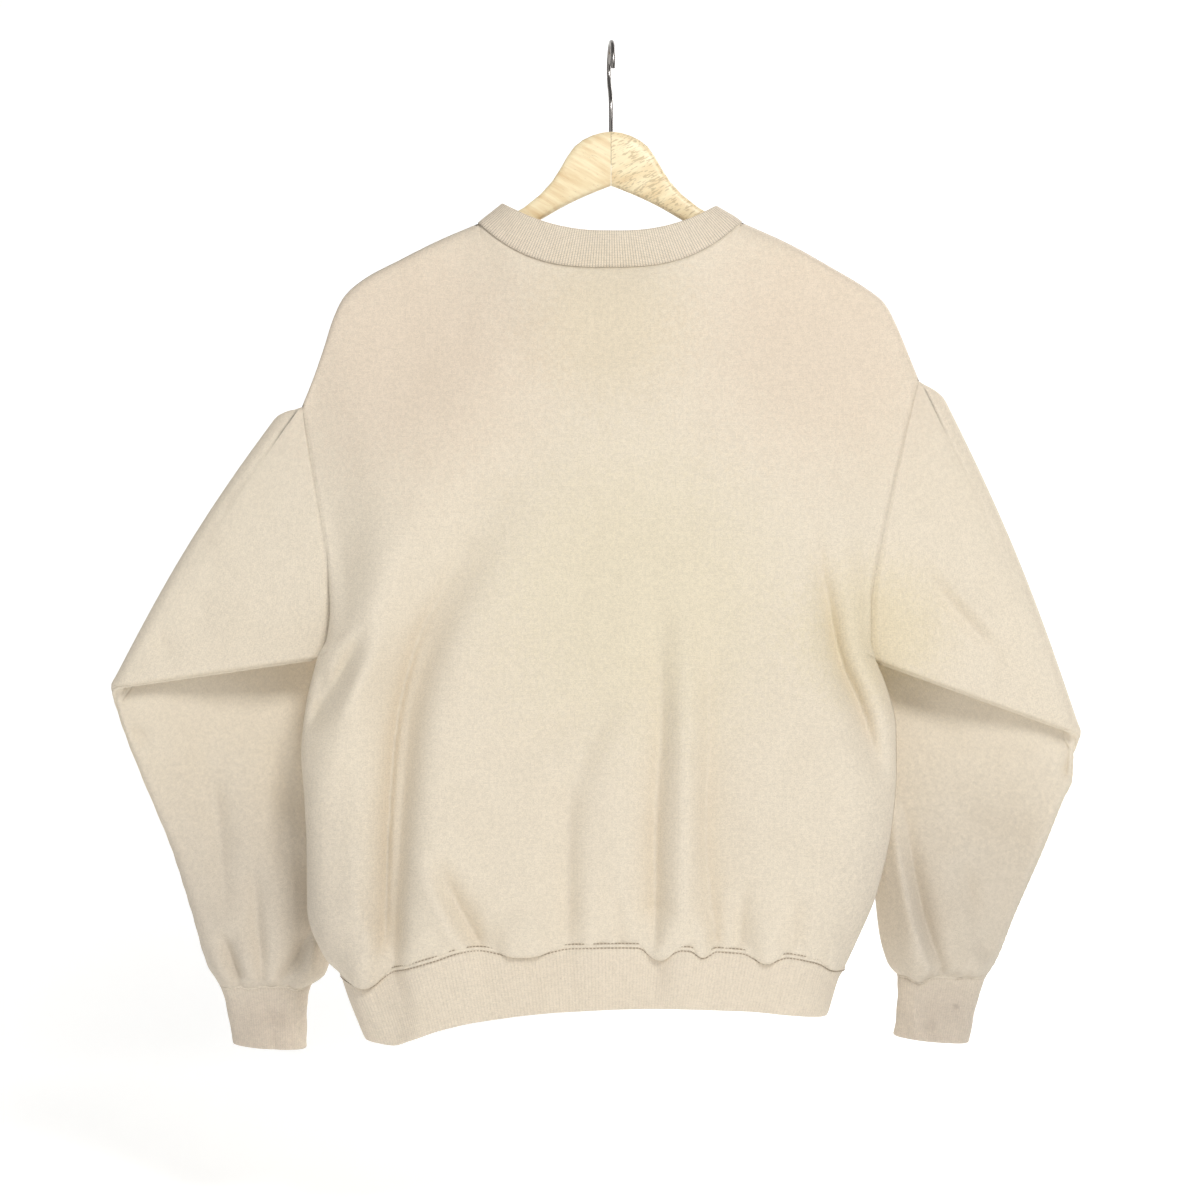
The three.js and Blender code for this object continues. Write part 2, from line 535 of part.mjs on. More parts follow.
/** The loops of the waistband: share runs round the back from the left side, then round the front. */
function bandPoint(face, column, down) {
  const seam = panelPoint(face, column, ROWS[0]);
  const at = hemPath[face](column.share);
  const inset = Math.min(column.share, 1 - column.share) * BAND_WIDTH;
  const full = depthAt[face](at.z) * quarterRound(inset / (SIDE_ROUND[face] * BAND_ROUND));
  const out = full + foldLift(face, at.x, at.z) * HEM_FOLD_SHARE * ease(inset / FOLD_CLEAR.side);
  const hem = vec(at.x, face === 'back' ? -out : out, at.z);
  return seam.lerp(hem, down);
}

/** Closed loop of waistband points at a share of its height, round the back and then the front. */
function bandLoop(down) {
  const back = COLUMNS.map((column) => bandPoint('back', column, down));
  const front = [...COLUMNS].reverse().slice(1, -1).map((column) => bandPoint('front', column, down));
  return [...back, ...front];
}

/** Normals of a closed loop that point away from its inside, square to the loop and to an axis. */
function loopNormals(loop, axis) {
  const middle = loop.reduce((sum, p) => sum.add(p), vec(0, 0, 0)).divideScalar(loop.length);
  const normals = loop.map((p, i) => {
    const along = loop[(i + 1) % loop.length].clone().sub(loop.at(i - 1));
    return along.cross(axis).normalize();
  });
  const outward = normals.reduce((sum, n, i) => sum + n.dot(loop[i].clone().sub(middle)), 0);
  return outward < 0 ? normals.map((n) => n.negate()) : normals;
}

const DOWN = vec(0, 0, -1);
const seamLoop = bandLoop(0);
const seamNormals = loopNormals(seamLoop, DOWN);

/** Direction in which the collar stands out of the neck seam, and the cloth's normal there. */
function collarFrame(face, t) {
  const low = neckEdge(face, t);
  const high = neckEdge(face, t, COLLAR_TOP, COLLAR_TOP);
  const step = SEAM_STEP.neck;
  const other = face === 'back' ? 'front' : 'back';
  const point = (at) => {
    if (at < 0) return neckEdge(other, -at);
    if (at > 1) return neckEdge(other, 2 - at);
    return neckEdge(face, at);
  };
  const along = point(t + step).sub(point(t - step));
  const normal = along.cross(high.clone().sub(low)).normalize();
  return { low, high, normal: face === 'back' ? normal.negate() : normal };
}

/** Vertex normals of a grid of points, by the lines through each point. wrap joins the columns' ends. */
function gridNormals(grid, wrap, sign) {
  const rows = grid.length;
  const columns = grid[0].length;
  return grid.map((line, i) => line.map((_, j) => {
    const up = grid[Math.min(i + 1, rows - 1)][j].clone().sub(grid[Math.max(i - 1, 0)][j]);
    const before = wrap ? (j + columns - 1) % columns : Math.max(j - 1, 0);
    const after = wrap ? (j + 1) % columns : Math.min(j + 1, columns - 1);
    const across = grid[i][after].clone().sub(grid[i][before]);
    return across.cross(up).normalize().multiplyScalar(sign);
  }));
}

/** How far the pieces stop short of the armhole seam at t along it. */
const armholeTrim = (t) => TRIM + CORNER_TRIM * Math.exp(-((t / CORNER_SHARE) ** 2));

/** Moves the points on a grid's open edges towards the point beside them. low and high are functions of
 * the column, and side is a function of the row. */
function trimEdges(grid, wrap, low, high, side) {
  const pull = (i, j, towards, by) => {
    const step = grid[towards[0]][towards[1]].clone().sub(grid[i][j]).normalize().multiplyScalar(by);
    return grid[i][j].clone().add(step);
  };
  const rows = grid.length;
  const columns = grid[0].length;
  const trimmed = grid.map((line) => line.map((p) => p.clone()));
  for (let j = 0; j < columns; j += 1) {
    trimmed[0][j] = pull(0, j, [1, j], low(j));
    trimmed[rows - 1][j] = pull(rows - 1, j, [rows - 2, j], high(j));
  }
  if (!wrap) {
    for (let i = 0; i < rows; i += 1) {
      for (const [j, next] of [[0, 1], [columns - 1, columns - 2]]) {
        trimmed[i][j].add(pull(i, j, [i, next], side(i)).sub(grid[i][j]));
      }
    }
  }
  return trimmed;
}

/** A closed solid from triangles and points, with its faces turned outwards. */
function solid(points, triangles) {
  let volume = 0;
  for (const [a, b, c] of triangles) {
    volume += points[a].dot(points[b].clone().cross(points[c]));
  }
  const turned = volume < 0 ? triangles.map(([a, b, c]) => [a, c, b]) : triangles;
  const geometry = new THREE.BufferGeometry();
  const numbers = points.flatMap((p) => [p.x, p.y, p.z]);
  geometry.setAttribute('position', new THREE.Float32BufferAttribute(numbers, 3));
  geometry.setIndex(turned.flat());
  return geometry;
}

/** A wall of cloth: its mid surface is a grid of points, and its faces lie half a thickness either side. */
function clothWall(grid, normals, thickness, wrap) {
  const rows = grid.length;
  const columns = grid[0].length;
  const points = [];
  for (const side of [0.5, -0.5]) {
    grid.forEach((line, i) => line.forEach((p, j) => {
      points.push(p.clone().addScaledVector(normals[i][j], side * thickness));
    }));
  }
  const outer = (i, j) => i * columns + (j % columns);
  const inner = (i, j) => rows * columns + outer(i, j);
  const triangles = [];
  const quad = (a, b, c, d) => triangles.push([a, b, c], [a, c, d]);
  const last = wrap ? columns : columns - 1;
  for (let i = 0; i < rows - 1; i += 1) {
    for (let j = 0; j < last; j += 1) {
      quad(outer(i, j), outer(i, j + 1), outer(i + 1, j + 1), outer(i + 1, j));
      quad(inner(i, j), inner(i + 1, j), inner(i + 1, j + 1), inner(i, j + 1));
    }
  }
  for (let j = 0; j < last; j += 1) {
    quad(outer(0, j), inner(0, j), inner(0, j + 1), outer(0, j + 1));
    quad(outer(rows - 1, j), outer(rows - 1, j + 1), inner(rows - 1, j + 1), inner(rows - 1, j));
  }
  if (!wrap) {
    for (let i = 0; i < rows - 1; i += 1) {
      quad(outer(i, 0), outer(i + 1, 0), inner(i + 1, 0), inner(i, 0));
      quad(outer(i, last), inner(i, last), inner(i + 1, last), outer(i + 1, last));
    }
  }
  return solid(points, triangles);
}

/** Normal of a shoulder seam: square to it, in the plane of the hanging cloth, upwards. */
function shoulderNormal(side, t) {
  const step = SEAM_STEP.shoulder;
  const a = shoulderPath[side](Math.max(0, t - step));
  const b = shoulderPath[side](Math.min(1, t + step));
  return vec(SIGN[side] * (b.z - a.z), 0, -SIGN[side] * (b.x - a.x)).normalize();
}

/** The front or back panel, from the waistband seam to the shoulders and neck. */
function buildPanel(face) {
  const grid = ROWS.map((row) => COLUMNS.map((column) => panelPoint(face, column, row)));
  const normals = gridNormals(grid, false, face === 'back' ? 1 : -1);
  const lastRow = ROWS.length - 1;
  const lastColumn = COLUMNS.length - 1;
  ROWS.forEach((row, i) => {
    for (const [side, j] of [['left', 0], ['right', lastColumn]]) {
      if (row.part === 'armhole') {
        normals[i][j] = armholeNormal(side, face, row.t);
      } else {
        const a = sidePath[side](Math.max(0, row.t - SEAM_STEP.side));
        const b = sidePath[side](Math.min(1, row.t + SEAM_STEP.side));
        normals[i][j] = vec(SIGN[side] * (b.z - a.z), 0, -SIGN[side] * (b.x - a.x)).normalize();
      }
    }
  });
  COLUMNS.forEach((column, j) => {
    const loopIndex = face === 'back' ? j : (seamLoop.length - j) % seamLoop.length;
    normals[0][j] = seamNormals[loopIndex].clone();
    if (column.part === 'neck') {
      normals[lastRow][j] = collarFrame(face, column.t).normal;
    } else if (column.t > 0) {
      normals[lastRow][j] = shoulderNormal(column.part, column.t);
    }
  });
  const sideTrim = (i) => (ROWS[i].part === 'armhole' ? armholeTrim(ROWS[i].t) : TRIM);
  const trimmed = trimEdges(grid, false, () => TRIM, () => TRIM, sideTrim);
  const sign = face === 'back' ? -1 : 1;
  ROWS.forEach((row, i) => {
    if (row.part !== 'armhole') return;
    for (const p of [trimmed[i][0], trimmed[i][lastColumn]]) p.y = sign * Math.max(sign * p.y, 2 * TRIM);
  });
  return clothWall(trimmed, normals, FLEECE, false);
}

/** The waistband: a doubled rib tube below both panels. */
function buildWaistband() {
  const grid = BAND_LEVELS.map((down) => bandLoop(down));
  const normals = grid.map((loop) => loopNormals(loop, DOWN));
  normals[0] = seamNormals;
  return clothWall(trimEdges(grid, true, () => TRIM, () => 0), normals, RIB, true);
}

/** Shares of the neck seam's length as the loop's own parameter, so that wales lie evenly round it. */
function evenNeck() {
  const count = NECK_SAMPLES;
  const rows = [{ share: 0, t: 0 }];
  let length = 0;
  const at = (t) => neckEdge(t <= 0.5 ? 'back' : 'front', t <= 0.5 ? t * 2 : 2 - t * 2);
  for (let i = 1; i <= count; i += 1) {
    length += at(i / count).distanceTo(at((i - 1) / count));
    rows.push({ share: length, t: i / count });
  }
  for (const row of rows) row.share /= length;
  return smoothColumn(rows, 'share', 't');
}

/** The collar: raised wales outside, a plain inside, between the neck seam and a smaller free edge. */
function buildCollar() {
  const perCoarse = POINTS_PER_INSIDE;
  const fine = COLLAR_RIBS * 2;
  const coarse = fine / perCoarse;
  const frames = (t) => {
    const face = t <= 0.5 ? 'back' : 'front';
    const along = face === 'back' ? t * 2 : 2 - t * 2;
    const cell = Math.max(0, NECK_COLUMNS.findIndex((column) => column >= along) - 1);
    const part = (along - NECK_COLUMNS[cell]) / (NECK_COLUMNS[cell + 1] - NECK_COLUMNS[cell]);
    const a = collarFrame(face, NECK_COLUMNS[cell]);
    const b = collarFrame(face, NECK_COLUMNS[cell + 1]);
    const smooth = collarFrame(face, along);
    const fromEnd = Math.min(along, 1 - along) / COLLAR_CORNER_SHARE;
    return {
      trim: COLLAR_TRIM + COLLAR_CORNER_TRIM * Math.exp(-(fromEnd ** 2)),
      low: a.low.lerp(b.low, part), lowNormal: a.normal.lerp(b.normal, part).normalize(),
      high: smooth.high, normal: smooth.normal,
    };
  };
  const levels = [0, 1];
  const spread = evenNeck();
  const pointAt = (share, level, out) => {
    const frame = frames(spread(share));
    const rise = frame.high.clone().sub(frame.low);
    const trim = frame.trim / rise.length();
    const base = frame.low.clone().addScaledVector(rise, lerp(trim, 1, level));
    const normal = frame.lowNormal.clone().lerp(frame.normal, level).normalize();
    return base.addScaledVector(normal, out);
  };
  const points = [];
  for (const level of levels) {
    for (let j = 0; j < fine; j += 1) {
      points.push(pointAt(j / fine, level, RIB / 2 - (j % 2 ? RIB_HEIGHT : 0)));
    }
  }
  for (const level of levels) {
    for (let j = 0; j < coarse; j += 1) points.push(pointAt(j / coarse, level, -RIB / 2));
  }
  const outer = (i, j) => i * fine + (j % fine);
  const inner = (i, j) => levels.length * fine + i * coarse + (j % coarse);
  const triangles = [];
  const quad = (a, b, c, d) => triangles.push([a, b, c], [a, c, d]);
  for (let i = 0; i < levels.length - 1; i += 1) {
    for (let j = 0; j < fine; j += 1) {
      quad(outer(i, j), outer(i, j + 1), outer(i + 1, j + 1), outer(i + 1, j));
    }
    for (let j = 0; j < coarse; j += 1) {
      quad(inner(i, j), inner(i + 1, j), inner(i + 1, j + 1), inner(i, j + 1));
    }
  }
  const switchAt = Math.ceil(perCoarse / 2);
  for (let k = 0; k < coarse; k += 1) {
    for (const [level, flip] of [[0, false], [levels.length - 1, true]]) {
      const face = (a, b, c) => triangles.push(flip ? [a, c, b] : [a, b, c]);
      for (let j = 0; j < perCoarse; j += 1) {
        const from = k * perCoarse + j;
        face(outer(level, from + 1), outer(level, from), inner(level, j < switchAt ? k : k + 1));
      }
      face(inner(level, k), inner(level, k + 1), outer(level, k * perCoarse + switchAt));
    }
  }
  return solid(points, triangles);
}

/** Plane directions and fold line of a sleeve, as {x, z} vectors in the plane of the hanging cloth. */
function sleeveFrame(side) {
  const { elbow, taper } = SLEEVE[side];
  const underarm = new THREE.Vector2(...Object.values(armholePath[side](0)));
  const shoulder = new THREE.Vector2(...Object.values(armholePath[side](1)));
  const corner = new THREE.Vector2(elbow.x, elbow.z);
  const along = corner.clone().sub(underarm).normalize();
  const up = new THREE.Vector2(-along.y, along.x).multiplyScalar(SIGN[side]);
  const angle = THREE.MathUtils.degToRad(taper);
  const top = along.clone().multiplyScalar(Math.cos(angle)).addScaledVector(up, -Math.sin(angle));
  const layers = FOLD_RADIUS + SLEEVE_FILL + FLEECE / 2; // from the fold's start to the outside of the bend
  const start = shoulder.clone().addScaledVector(top, FOLD_START_TOP);
  const line = corner.clone().sub(shoulder).normalize();
  let normal = new THREE.Vector2(line.y, -line.x);
  if (normal.dot(along) < 0) normal = normal.negate();
  const seamStart = corner.distanceTo(underarm) - layers / normal.dot(along);
  const end = underarm.clone().addScaledVector(along, seamStart);
  const foldLine = end.clone().sub(start).normalize();
  normal = new THREE.Vector2(foldLine.y, -foldLine.x);
  if (normal.dot(along) < 0) normal = normal.negate();
  const foldLength = end.distanceTo(start);
  return { underarm, shoulder, along, top, start, normal, seamStart, foldLine, foldLength };
}

/** Rings of a sleeve: how far along the underarm seam and the top line each one starts and ends. */
function sleeveRings(side) {
  const frame = sleeveFrame(side);
  const rings = [];
  for (let i = 0; i <= TRIANGLE_RINGS; i += 1) {
    const t = i / TRIANGLE_RINGS;
    rings.push({
      share: t, seam: frame.seamStart * t, top: FOLD_START_TOP * t,
      straight: ease(t * STRAIGHTEN), edge: lerp(ARMHOLE_END, FOLD_EDGE, t),
      fill: SLEEVE_FILL * Math.sin(Math.PI * t) ** FILL_CURVE,
    });
  }
  const bend = Math.PI * FOLD_RADIUS;
  for (let i = 1; i <= FOLD_RINGS; i += 1) {
    const across = bend * i / FOLD_RINGS;
    rings.push({
      share: 1,
      seam: frame.seamStart + across / frame.normal.dot(frame.along),
      top: FOLD_START_TOP + across / frame.normal.dot(frame.top),
      straight: 1, edge: FOLD_EDGE, fill: 0,
    });
  }
  return { frame, rings };
}

/** Where the middle of the hanging part lies, forward of the shoulder seam. */
function hangingDepth(side, frame, at) {
  const beyond = -at.clone().sub(frame.start).dot(frame.normal);
  return 2 * FOLD_RADIUS + SLEEVE[side].lean * ease(beyond / LEAN_RUN);
}

/** Folds a point of the flat sleeve over the fold line. */
function foldOver(frame, at, off) {
  const from = at.clone().sub(frame.start);
  const along = THREE.MathUtils.clamp(from.dot(frame.foldLine) / frame.foldLength, 0, 1);
  const past = from.dot(frame.normal) - FOLD_BOW * Math.sin(Math.PI * along);
  if (past <= 0) return vec(at.x, off, at.y);
  const angle = Math.min(past / FOLD_RADIUS, Math.PI);
  const radius = FOLD_RADIUS - off;
  const reach = radius * Math.sin(angle) - Math.max(0, past - Math.PI * FOLD_RADIUS);
  const flat = at.clone().addScaledVector(frame.normal, reach - past);
  return vec(flat.x, FOLD_RADIUS - radius * Math.cos(angle), flat.y);
}

/** Points of a closed ring, round one half from the seam and back round the other. */
function ringOf(point) {
  const last = ARMHOLE_ROWS.length - 1;
  const back = ARMHOLE_ROWS.map((t, i) => point('back', t, i));
  const front = [...ARMHOLE_ROWS].reverse().slice(1, -1).map((t, i) => point('front', t, last + 1 + i));
  return [...back, ...front];
}

/** A ring between the armhole and the end of the fold, from its place on the flat sleeve. */
function flatRing(side, frame, ring) {
  const seam = frame.underarm.clone().addScaledVector(frame.along, ring.seam);
  const top = frame.shoulder.clone().addScaledVector(frame.top, ring.top);
  const span = seam.distanceTo(top);
  return ringOf((face, t) => {
    const edge = ring.edge * quarterRound(Math.min(t, 1 - t) * span / ring.edge);
    const half = edge + ring.fill * Math.sin(Math.PI * t);
    const bowed = frame.normal.clone().multiplyScalar(FOLD_BOW * Math.sin(Math.PI * t) * ring.share);
    const seamPoint = armholePoint(side, face, t);
    const chord = frame.underarm.clone().lerp(frame.shoulder, t);
    const bow = new THREE.Vector2(seamPoint.x, seamPoint.z).sub(chord).multiplyScalar(1 - ring.straight);
    const off = lerp(seamPoint.y, face === 'back' ? -half : half, ring.straight);
    return foldOver(frame, seam.clone().lerp(top, t).add(bow).add(bowed), off);
  });
}

/** A ring of the hanging part, whose edges are given. The half that was behind now faces forward. */
function hangingRing(side, frame, ring) {
  const span = ring.outer.distanceTo(ring.inner);
  return ringOf((face, t, index) => {
    const edge = ring.edge * quarterRound(Math.min(t, 1 - t) * span / ring.edge);
    const turn = Math.PI * index / (ARMHOLE_ROWS.length - 1);
    const half = edge + (ring.fill + ring.gather * Math.cos(GATHERS * turn)) * Math.sin(Math.PI * t);
    const at = ring.outer.clone().lerp(ring.inner, t);
    return vec(at.x, hangingDepth(side, frame, at) + (face === 'back' ? half : -half), at.y);
  });
}

/** Every ring of a sleeve, from the armhole to the cuff. */
function sleeveGrid(side) {
  const { frame, rings } = sleeveRings(side);
  const grid = rings.map((ring) => flatRing(side, frame, ring));
  const foldEnd = grid.at(-1);
  const half = ARMHOLE_ROWS.length - 1;
  const outer = smoothPath([{ x: foldEnd[0].x, z: foldEnd[0].z }, ...HANGING_EDGES[side].outer]);
  const inner = smoothPath([{ x: foldEnd[half].x, z: foldEnd[half].z }, ...HANGING_EDGES[side].inner]);
  const flat = ({ x, z }) => new THREE.Vector2(x, z);
  for (const row of HANGING_RINGS) {
    const gather = GATHER_HEIGHT * ease((row.at - GATHER_RUN.from) / GATHER_RUN.grow)
      * ease((1 - row.at) / GATHER_RUN.end);
    const edges = { outer: flat(outer(row.at)), inner: flat(inner(row.at)) };
    grid.push(hangingRing(side, frame, { ...row, ...edges, gather }));
  }
  return grid;
}
const sleeves = { left: sleeveGrid('left'), right: sleeveGrid('right') };

/** The cuff's direction, from the sleeve's end to the cuff's free edge. */
function cuffAxis(side) {
  const end = sleeves[side].at(-1);
  const middle = end.reduce((sum, p) => sum.add(p), vec(0, 0, 0)).divideScalar(end.length);
  const { x, y, z } = CUFF[side];
  return vec(x, y, z).sub(middle).normalize();
}

function buildSleeve(side) {
  const grid = sleeves[side];
  const sign = side === 'left' ? 1 : -1;
  const normals = gridNormals(grid, true, sign);
  const last = ARMHOLE_ROWS.length - 1;
  normals[0] = grid[0].map((_, j) => {
    const face = j <= last ? 'back' : 'front';
    return armholeNormal(side, face, ARMHOLE_ROWS[Math.min(j, 2 * last - j)]);
  });
  normals[grid.length - 1] = loopNormals(grid.at(-1), cuffAxis(side));
  const low = (j) => armholeTrim(ARMHOLE_ROWS[Math.min(j, 2 * last - j)]);
  return clothWall(trimEdges(grid, true, low, () => TRIM), normals, FLEECE, true);
}

/** A cuff: a doubled rib tube from the sleeve's end to its own free edge. */
function buildCuff(side) {
  const top = sleeves[side].at(-1);
  const { x, y, z, half, deep, tilt } = CUFF[side];
  const last = ARMHOLE_ROWS.length - 1;
  const outSign = SIGN[side];
  const bottom = top.map((_, j) => {
    const face = j <= last ? -1 : 1;
    const t = j <= last ? ARMHOLE_ROWS[j] : ARMHOLE_ROWS[2 * last - j];
    const angle = Math.acos(1 - 2 * t);
    const across = Math.cos(angle);
    return vec(x + outSign * half * across, y - face * deep * Math.sin(angle), z + outSign * tilt * across);
  });
  const axis = cuffAxis(side);
  const topMiddle = top.reduce((sum, p) => sum.add(p), vec(0, 0, 0)).divideScalar(top.length);
  const grid = CUFF_LEVELS.map(({ down, narrow }) => top.map((p, j) => {
    const middle = topMiddle.clone().lerp(vec(x, y, z), down);
    return p.clone().lerp(bottom[j], down).lerp(middle, narrow);
  }));
  const normals = grid.map((loop) => loopNormals(loop, axis));
  return clothWall(trimEdges(grid, true, () => TRIM, () => 0), normals, RIB, true);
}

/** A closed three.js geometry as a manifold solid, and back. */
function toManifold(geometry) {
  const bare = geometry.clone();
  bare.deleteAttribute('normal');
  bare.deleteAttribute('uv');
  const merged = mergeVertices(bare, MERGE_REACH);
  return new wasm.Manifold(new wasm.Mesh({
    numProp: 3,
    vertProperties: new Float32Array(merged.attributes.position.array),
    triVerts: new Uint32Array(merged.index.array),
  }));
}

function fromManifold(body) {
  const mesh = body.getMesh();
  const geometry = new THREE.BufferGeometry();
  geometry.setAttribute('position', new THREE.Float32BufferAttribute(mesh.vertProperties, 3));
  geometry.setIndex([...mesh.triVerts]);
  return geometry;
}

/** A closed solid through closed loops of points, with a flat end at each end of the row. */
function loft(loops) {
  const count = loops[0].length;
  const points = loops.flat();
  const triangles = [];
  for (let i = 0; i < loops.length - 1; i += 1) {
    for (let j = 0; j < count; j += 1) {
      const next = (j + 1) % count;
      const [a, b, c, d] = [i * count + j, i * count + next, (i + 1) * count + next, (i + 1) * count + j];
      triangles.push([a, b, c], [a, c, d]);
    }
  }
  for (const [row, flip] of [[0, true], [loops.length - 1, false]]) {
    const middle = loops[row].reduce((sum, p) => sum.add(p), vec(0, 0, 0)).divideScalar(count);
    points.push(middle);
    for (let j = 0; j < count; j += 1) {
      const a = row * count + j;
      const b = row * count + ((j + 1) % count);
      triangles.push(flip ? [b, a, points.length - 1] : [a, b, points.length - 1]);
    }
  }
  return solid(points, triangles);
}

/** The top edge of the hanger's arm at a distance from the middle. */
function hangerTop(side) {
  const clearance = (FLEECE / 2 + HANGER.play) * HANGER.slopeFactor;
  const seats = HANGER.seats.map((t) => shoulderPath[side](t));
  const rows = seats.map((p) => ({ x: Math.abs(p.x), z: p.z - clearance }));
  const beyond = HANGER_TOP.at(-1).x + HANGER.seatClear;
  return smoothColumn([...HANGER_TOP, ...rows.filter((row) => row.x > beyond)], 'x', 'z');
}

/** One wooden half of the hanger: its top follows the shoulder seam, its end is rounded. */
function buildHangerArm(side) {
  const sign = SIGN[side];
  const top = hangerTop(side);
  const bottom = smoothColumn(HANGER_UNDER, 'x', 'z');
  const half = HANGER.thick / 2;
  const loops = HANGER.stations.map((x) => {
    const fromTip = (HANGER.tip - x) / HANGER.tipRound;
    const round = quarterRound(fromTip);
    const high = top(x);
    const low = bottom(x);
    const middle = (high + low) / 2;
    const tall = ((high - low) / 2) * lerp(HANGER.tipShare, 1, round);
    const deep = half * lerp(HANGER.tipShare, 1, round);
    const loop = [];
    for (let j = 0; j < HANGER.sectionPoints; j += 1) {
      const angle = 2 * Math.PI * (j + 0.5) / HANGER.sectionPoints;
      const square = (value) => Math.sign(value) * Math.abs(value) ** HANGER.squareness;
      loop.push(vec(sign * x, deep * square(Math.cos(angle)), middle + tall * square(Math.sin(angle))));
    }
    return loop;
  });
  const { boreRadius, boreDepth, sectionPoints } = HANGER;
  const bore = new THREE.CylinderGeometry(boreRadius, boreRadius, boreDepth * 2, sectionPoints);
  bore.rotateX(Math.PI / 2);
  bore.translate(0, 0, HANGER_TOP[0].z);
  return fromManifold(toManifold(loft(loops)).subtract(toManifold(bore)));
}

/** The hook: a straight stem, a bend out to one side, and a round loop that ends past its side. */
function buildHook() {
  const { wire, loop, turn, stemTop, tipAngle, steps } = HOOK;
  const centre = wire / 2 - loop;
  const route = [
    [0, HANGER_TOP[0].z - HANGER.boreDepth + HOOK.seatGap],
    ...HOOK_STEM.map(({ out, up }) => [out, stemTop + up]),
    [loop * HOOK_BEND.out, centre - loop * HOOK_BEND.down],
  ];
  for (let angle = HOOK.startAngle; angle <= tipAngle; angle += HOOK.angleStep) {
    const radians = THREE.MathUtils.degToRad(angle);
    route.push([loop * Math.cos(radians), centre + loop * Math.sin(radians)]);
  }
  const heading = THREE.MathUtils.degToRad(turn);
  const points = route.map(([out, z]) => vec(out * Math.cos(heading), out * Math.sin(heading), z));
  const section = new THREE.Shape();
  section.absarc(0, 0, wire / 2, 0, Math.PI * 2);
  const path = new THREE.CatmullRomCurve3(points, false, 'centripetal');
  return new THREE.ExtrudeGeometry(section, { steps, curveSegments: HOOK.sectionPoints, extrudePath: path });
}

const garment = new THREE.Group();

function add(name, geometry, colour, roughness, metalness = 0) {
  const material = new THREE.MeshStandardMaterial({ color: colour, roughness, metalness });
  const mesh = new THREE.Mesh(geometry, material);
  mesh.name = name;
  garment.add(mesh);
}

const FLEECE_COLOUR = 0xe8dcc6;
const RIB_COLOUR = 0xe4d7c2;
const WOOD_COLOUR = 0xe9cf9c;
const WIRE_COLOUR = 0xb9b9ba;
const ROUGHNESS = { fleece: 0.95, rib: 0.9, wood: 0.5, wire: 0.25 };
add('back_panel', buildPanel('back'), FLEECE_COLOUR, ROUGHNESS.fleece);
add('front_panel', buildPanel('front'), FLEECE_COLOUR, ROUGHNESS.fleece);
add('sleeve_left', buildSleeve('left'), FLEECE_COLOUR, ROUGHNESS.fleece);
add('sleeve_right', buildSleeve('right'), FLEECE_COLOUR, ROUGHNESS.fleece);
add('collar', buildCollar(), RIB_COLOUR, ROUGHNESS.rib);
add('waistband', buildWaistband(), RIB_COLOUR, ROUGHNESS.rib);
add('cuff_left', buildCuff('left'), RIB_COLOUR, ROUGHNESS.rib);
add('cuff_right', buildCuff('right'), RIB_COLOUR, ROUGHNESS.rib);
add('hanger_left', buildHangerArm('left'), WOOD_COLOUR, ROUGHNESS.wood);
add('hanger_right', buildHangerArm('right'), WOOD_COLOUR, ROUGHNESS.wood);
add('hanger_hook', buildHook(), WIRE_COLOUR, ROUGHNESS.wire, 1);

export default garment;
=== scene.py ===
import math

import bpy
import numpy as np
from bpy.props import FloatProperty, FloatVectorProperty, IntProperty, PointerProperty
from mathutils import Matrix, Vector


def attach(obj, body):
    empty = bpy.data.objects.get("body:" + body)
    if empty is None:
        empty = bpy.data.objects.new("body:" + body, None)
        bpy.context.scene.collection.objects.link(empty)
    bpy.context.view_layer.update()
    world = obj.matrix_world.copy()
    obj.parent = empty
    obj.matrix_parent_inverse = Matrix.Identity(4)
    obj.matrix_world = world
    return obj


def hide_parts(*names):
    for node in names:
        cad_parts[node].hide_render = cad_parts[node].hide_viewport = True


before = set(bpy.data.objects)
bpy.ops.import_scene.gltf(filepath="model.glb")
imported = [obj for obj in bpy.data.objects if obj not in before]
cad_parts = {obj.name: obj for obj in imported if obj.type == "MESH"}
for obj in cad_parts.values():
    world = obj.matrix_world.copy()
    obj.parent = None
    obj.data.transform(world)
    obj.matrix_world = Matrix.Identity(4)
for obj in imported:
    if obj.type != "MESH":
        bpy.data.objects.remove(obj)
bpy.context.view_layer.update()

bl_info = {
    "name": "Hanging sweatshirt",
    "version": (1, 0, 0),
    "blender": (4, 5, 0),
    "location": "3D View > Sidebar > Sweatshirt",
    "description": "Cloth, ribs, seams and finishes of a crewneck sweatshirt on a wooden hanger",
    "category": "Add Mesh",
}

# All tables are in millimetres: x across, z up, y away from the camera. The garment's back faces -Y.
MM = 0.001
BODY = "root"
SIGN = {"left": -1.0, "right": 1.0}
FACE = {"back": -1.0, "front": 1.0}
OTHER = {"back": "front", "front": "back"}

# Outline of the body: columns x, z
SIDE_SEAM = {
    "left": [(-228, -789), (-243, -774), (-257, -733), (-257, -685), (-259, -640), (-262, -600),
             (-259, -565), (-249, -521)],
    "right": [(197, -784), (206, -765), (225, -718), (238, -655), (241, -615), (241, -580),
              (235, -552), (224, -523)],
}
ARMHOLE = {
    "left": [(-249, -521), (-241, -506), (-238, -480), (-240, -440), (-247, -395), (-255, -350),
             (-262, -309)],
    "right": [(224, -523), (220, -505), (220, -475), (227, -430), (236, -385), (248, -335),
              (261, -287)],
}
SHOULDER = {
    "left": [(-262, -309), (-252, -284), (-243, -258), (-235, -233), (-226, -215), (-209, -200),
             (-179, -184), (-145, -167), (-112, -153)],
    "right": [(261, -287), (251, -262), (241, -238), (231, -220), (216, -208), (186, -190),
              (152, -171), (110, -152)],
}
NECK_ARCH = [(-60, -136), (0, -129), (60, -136)]
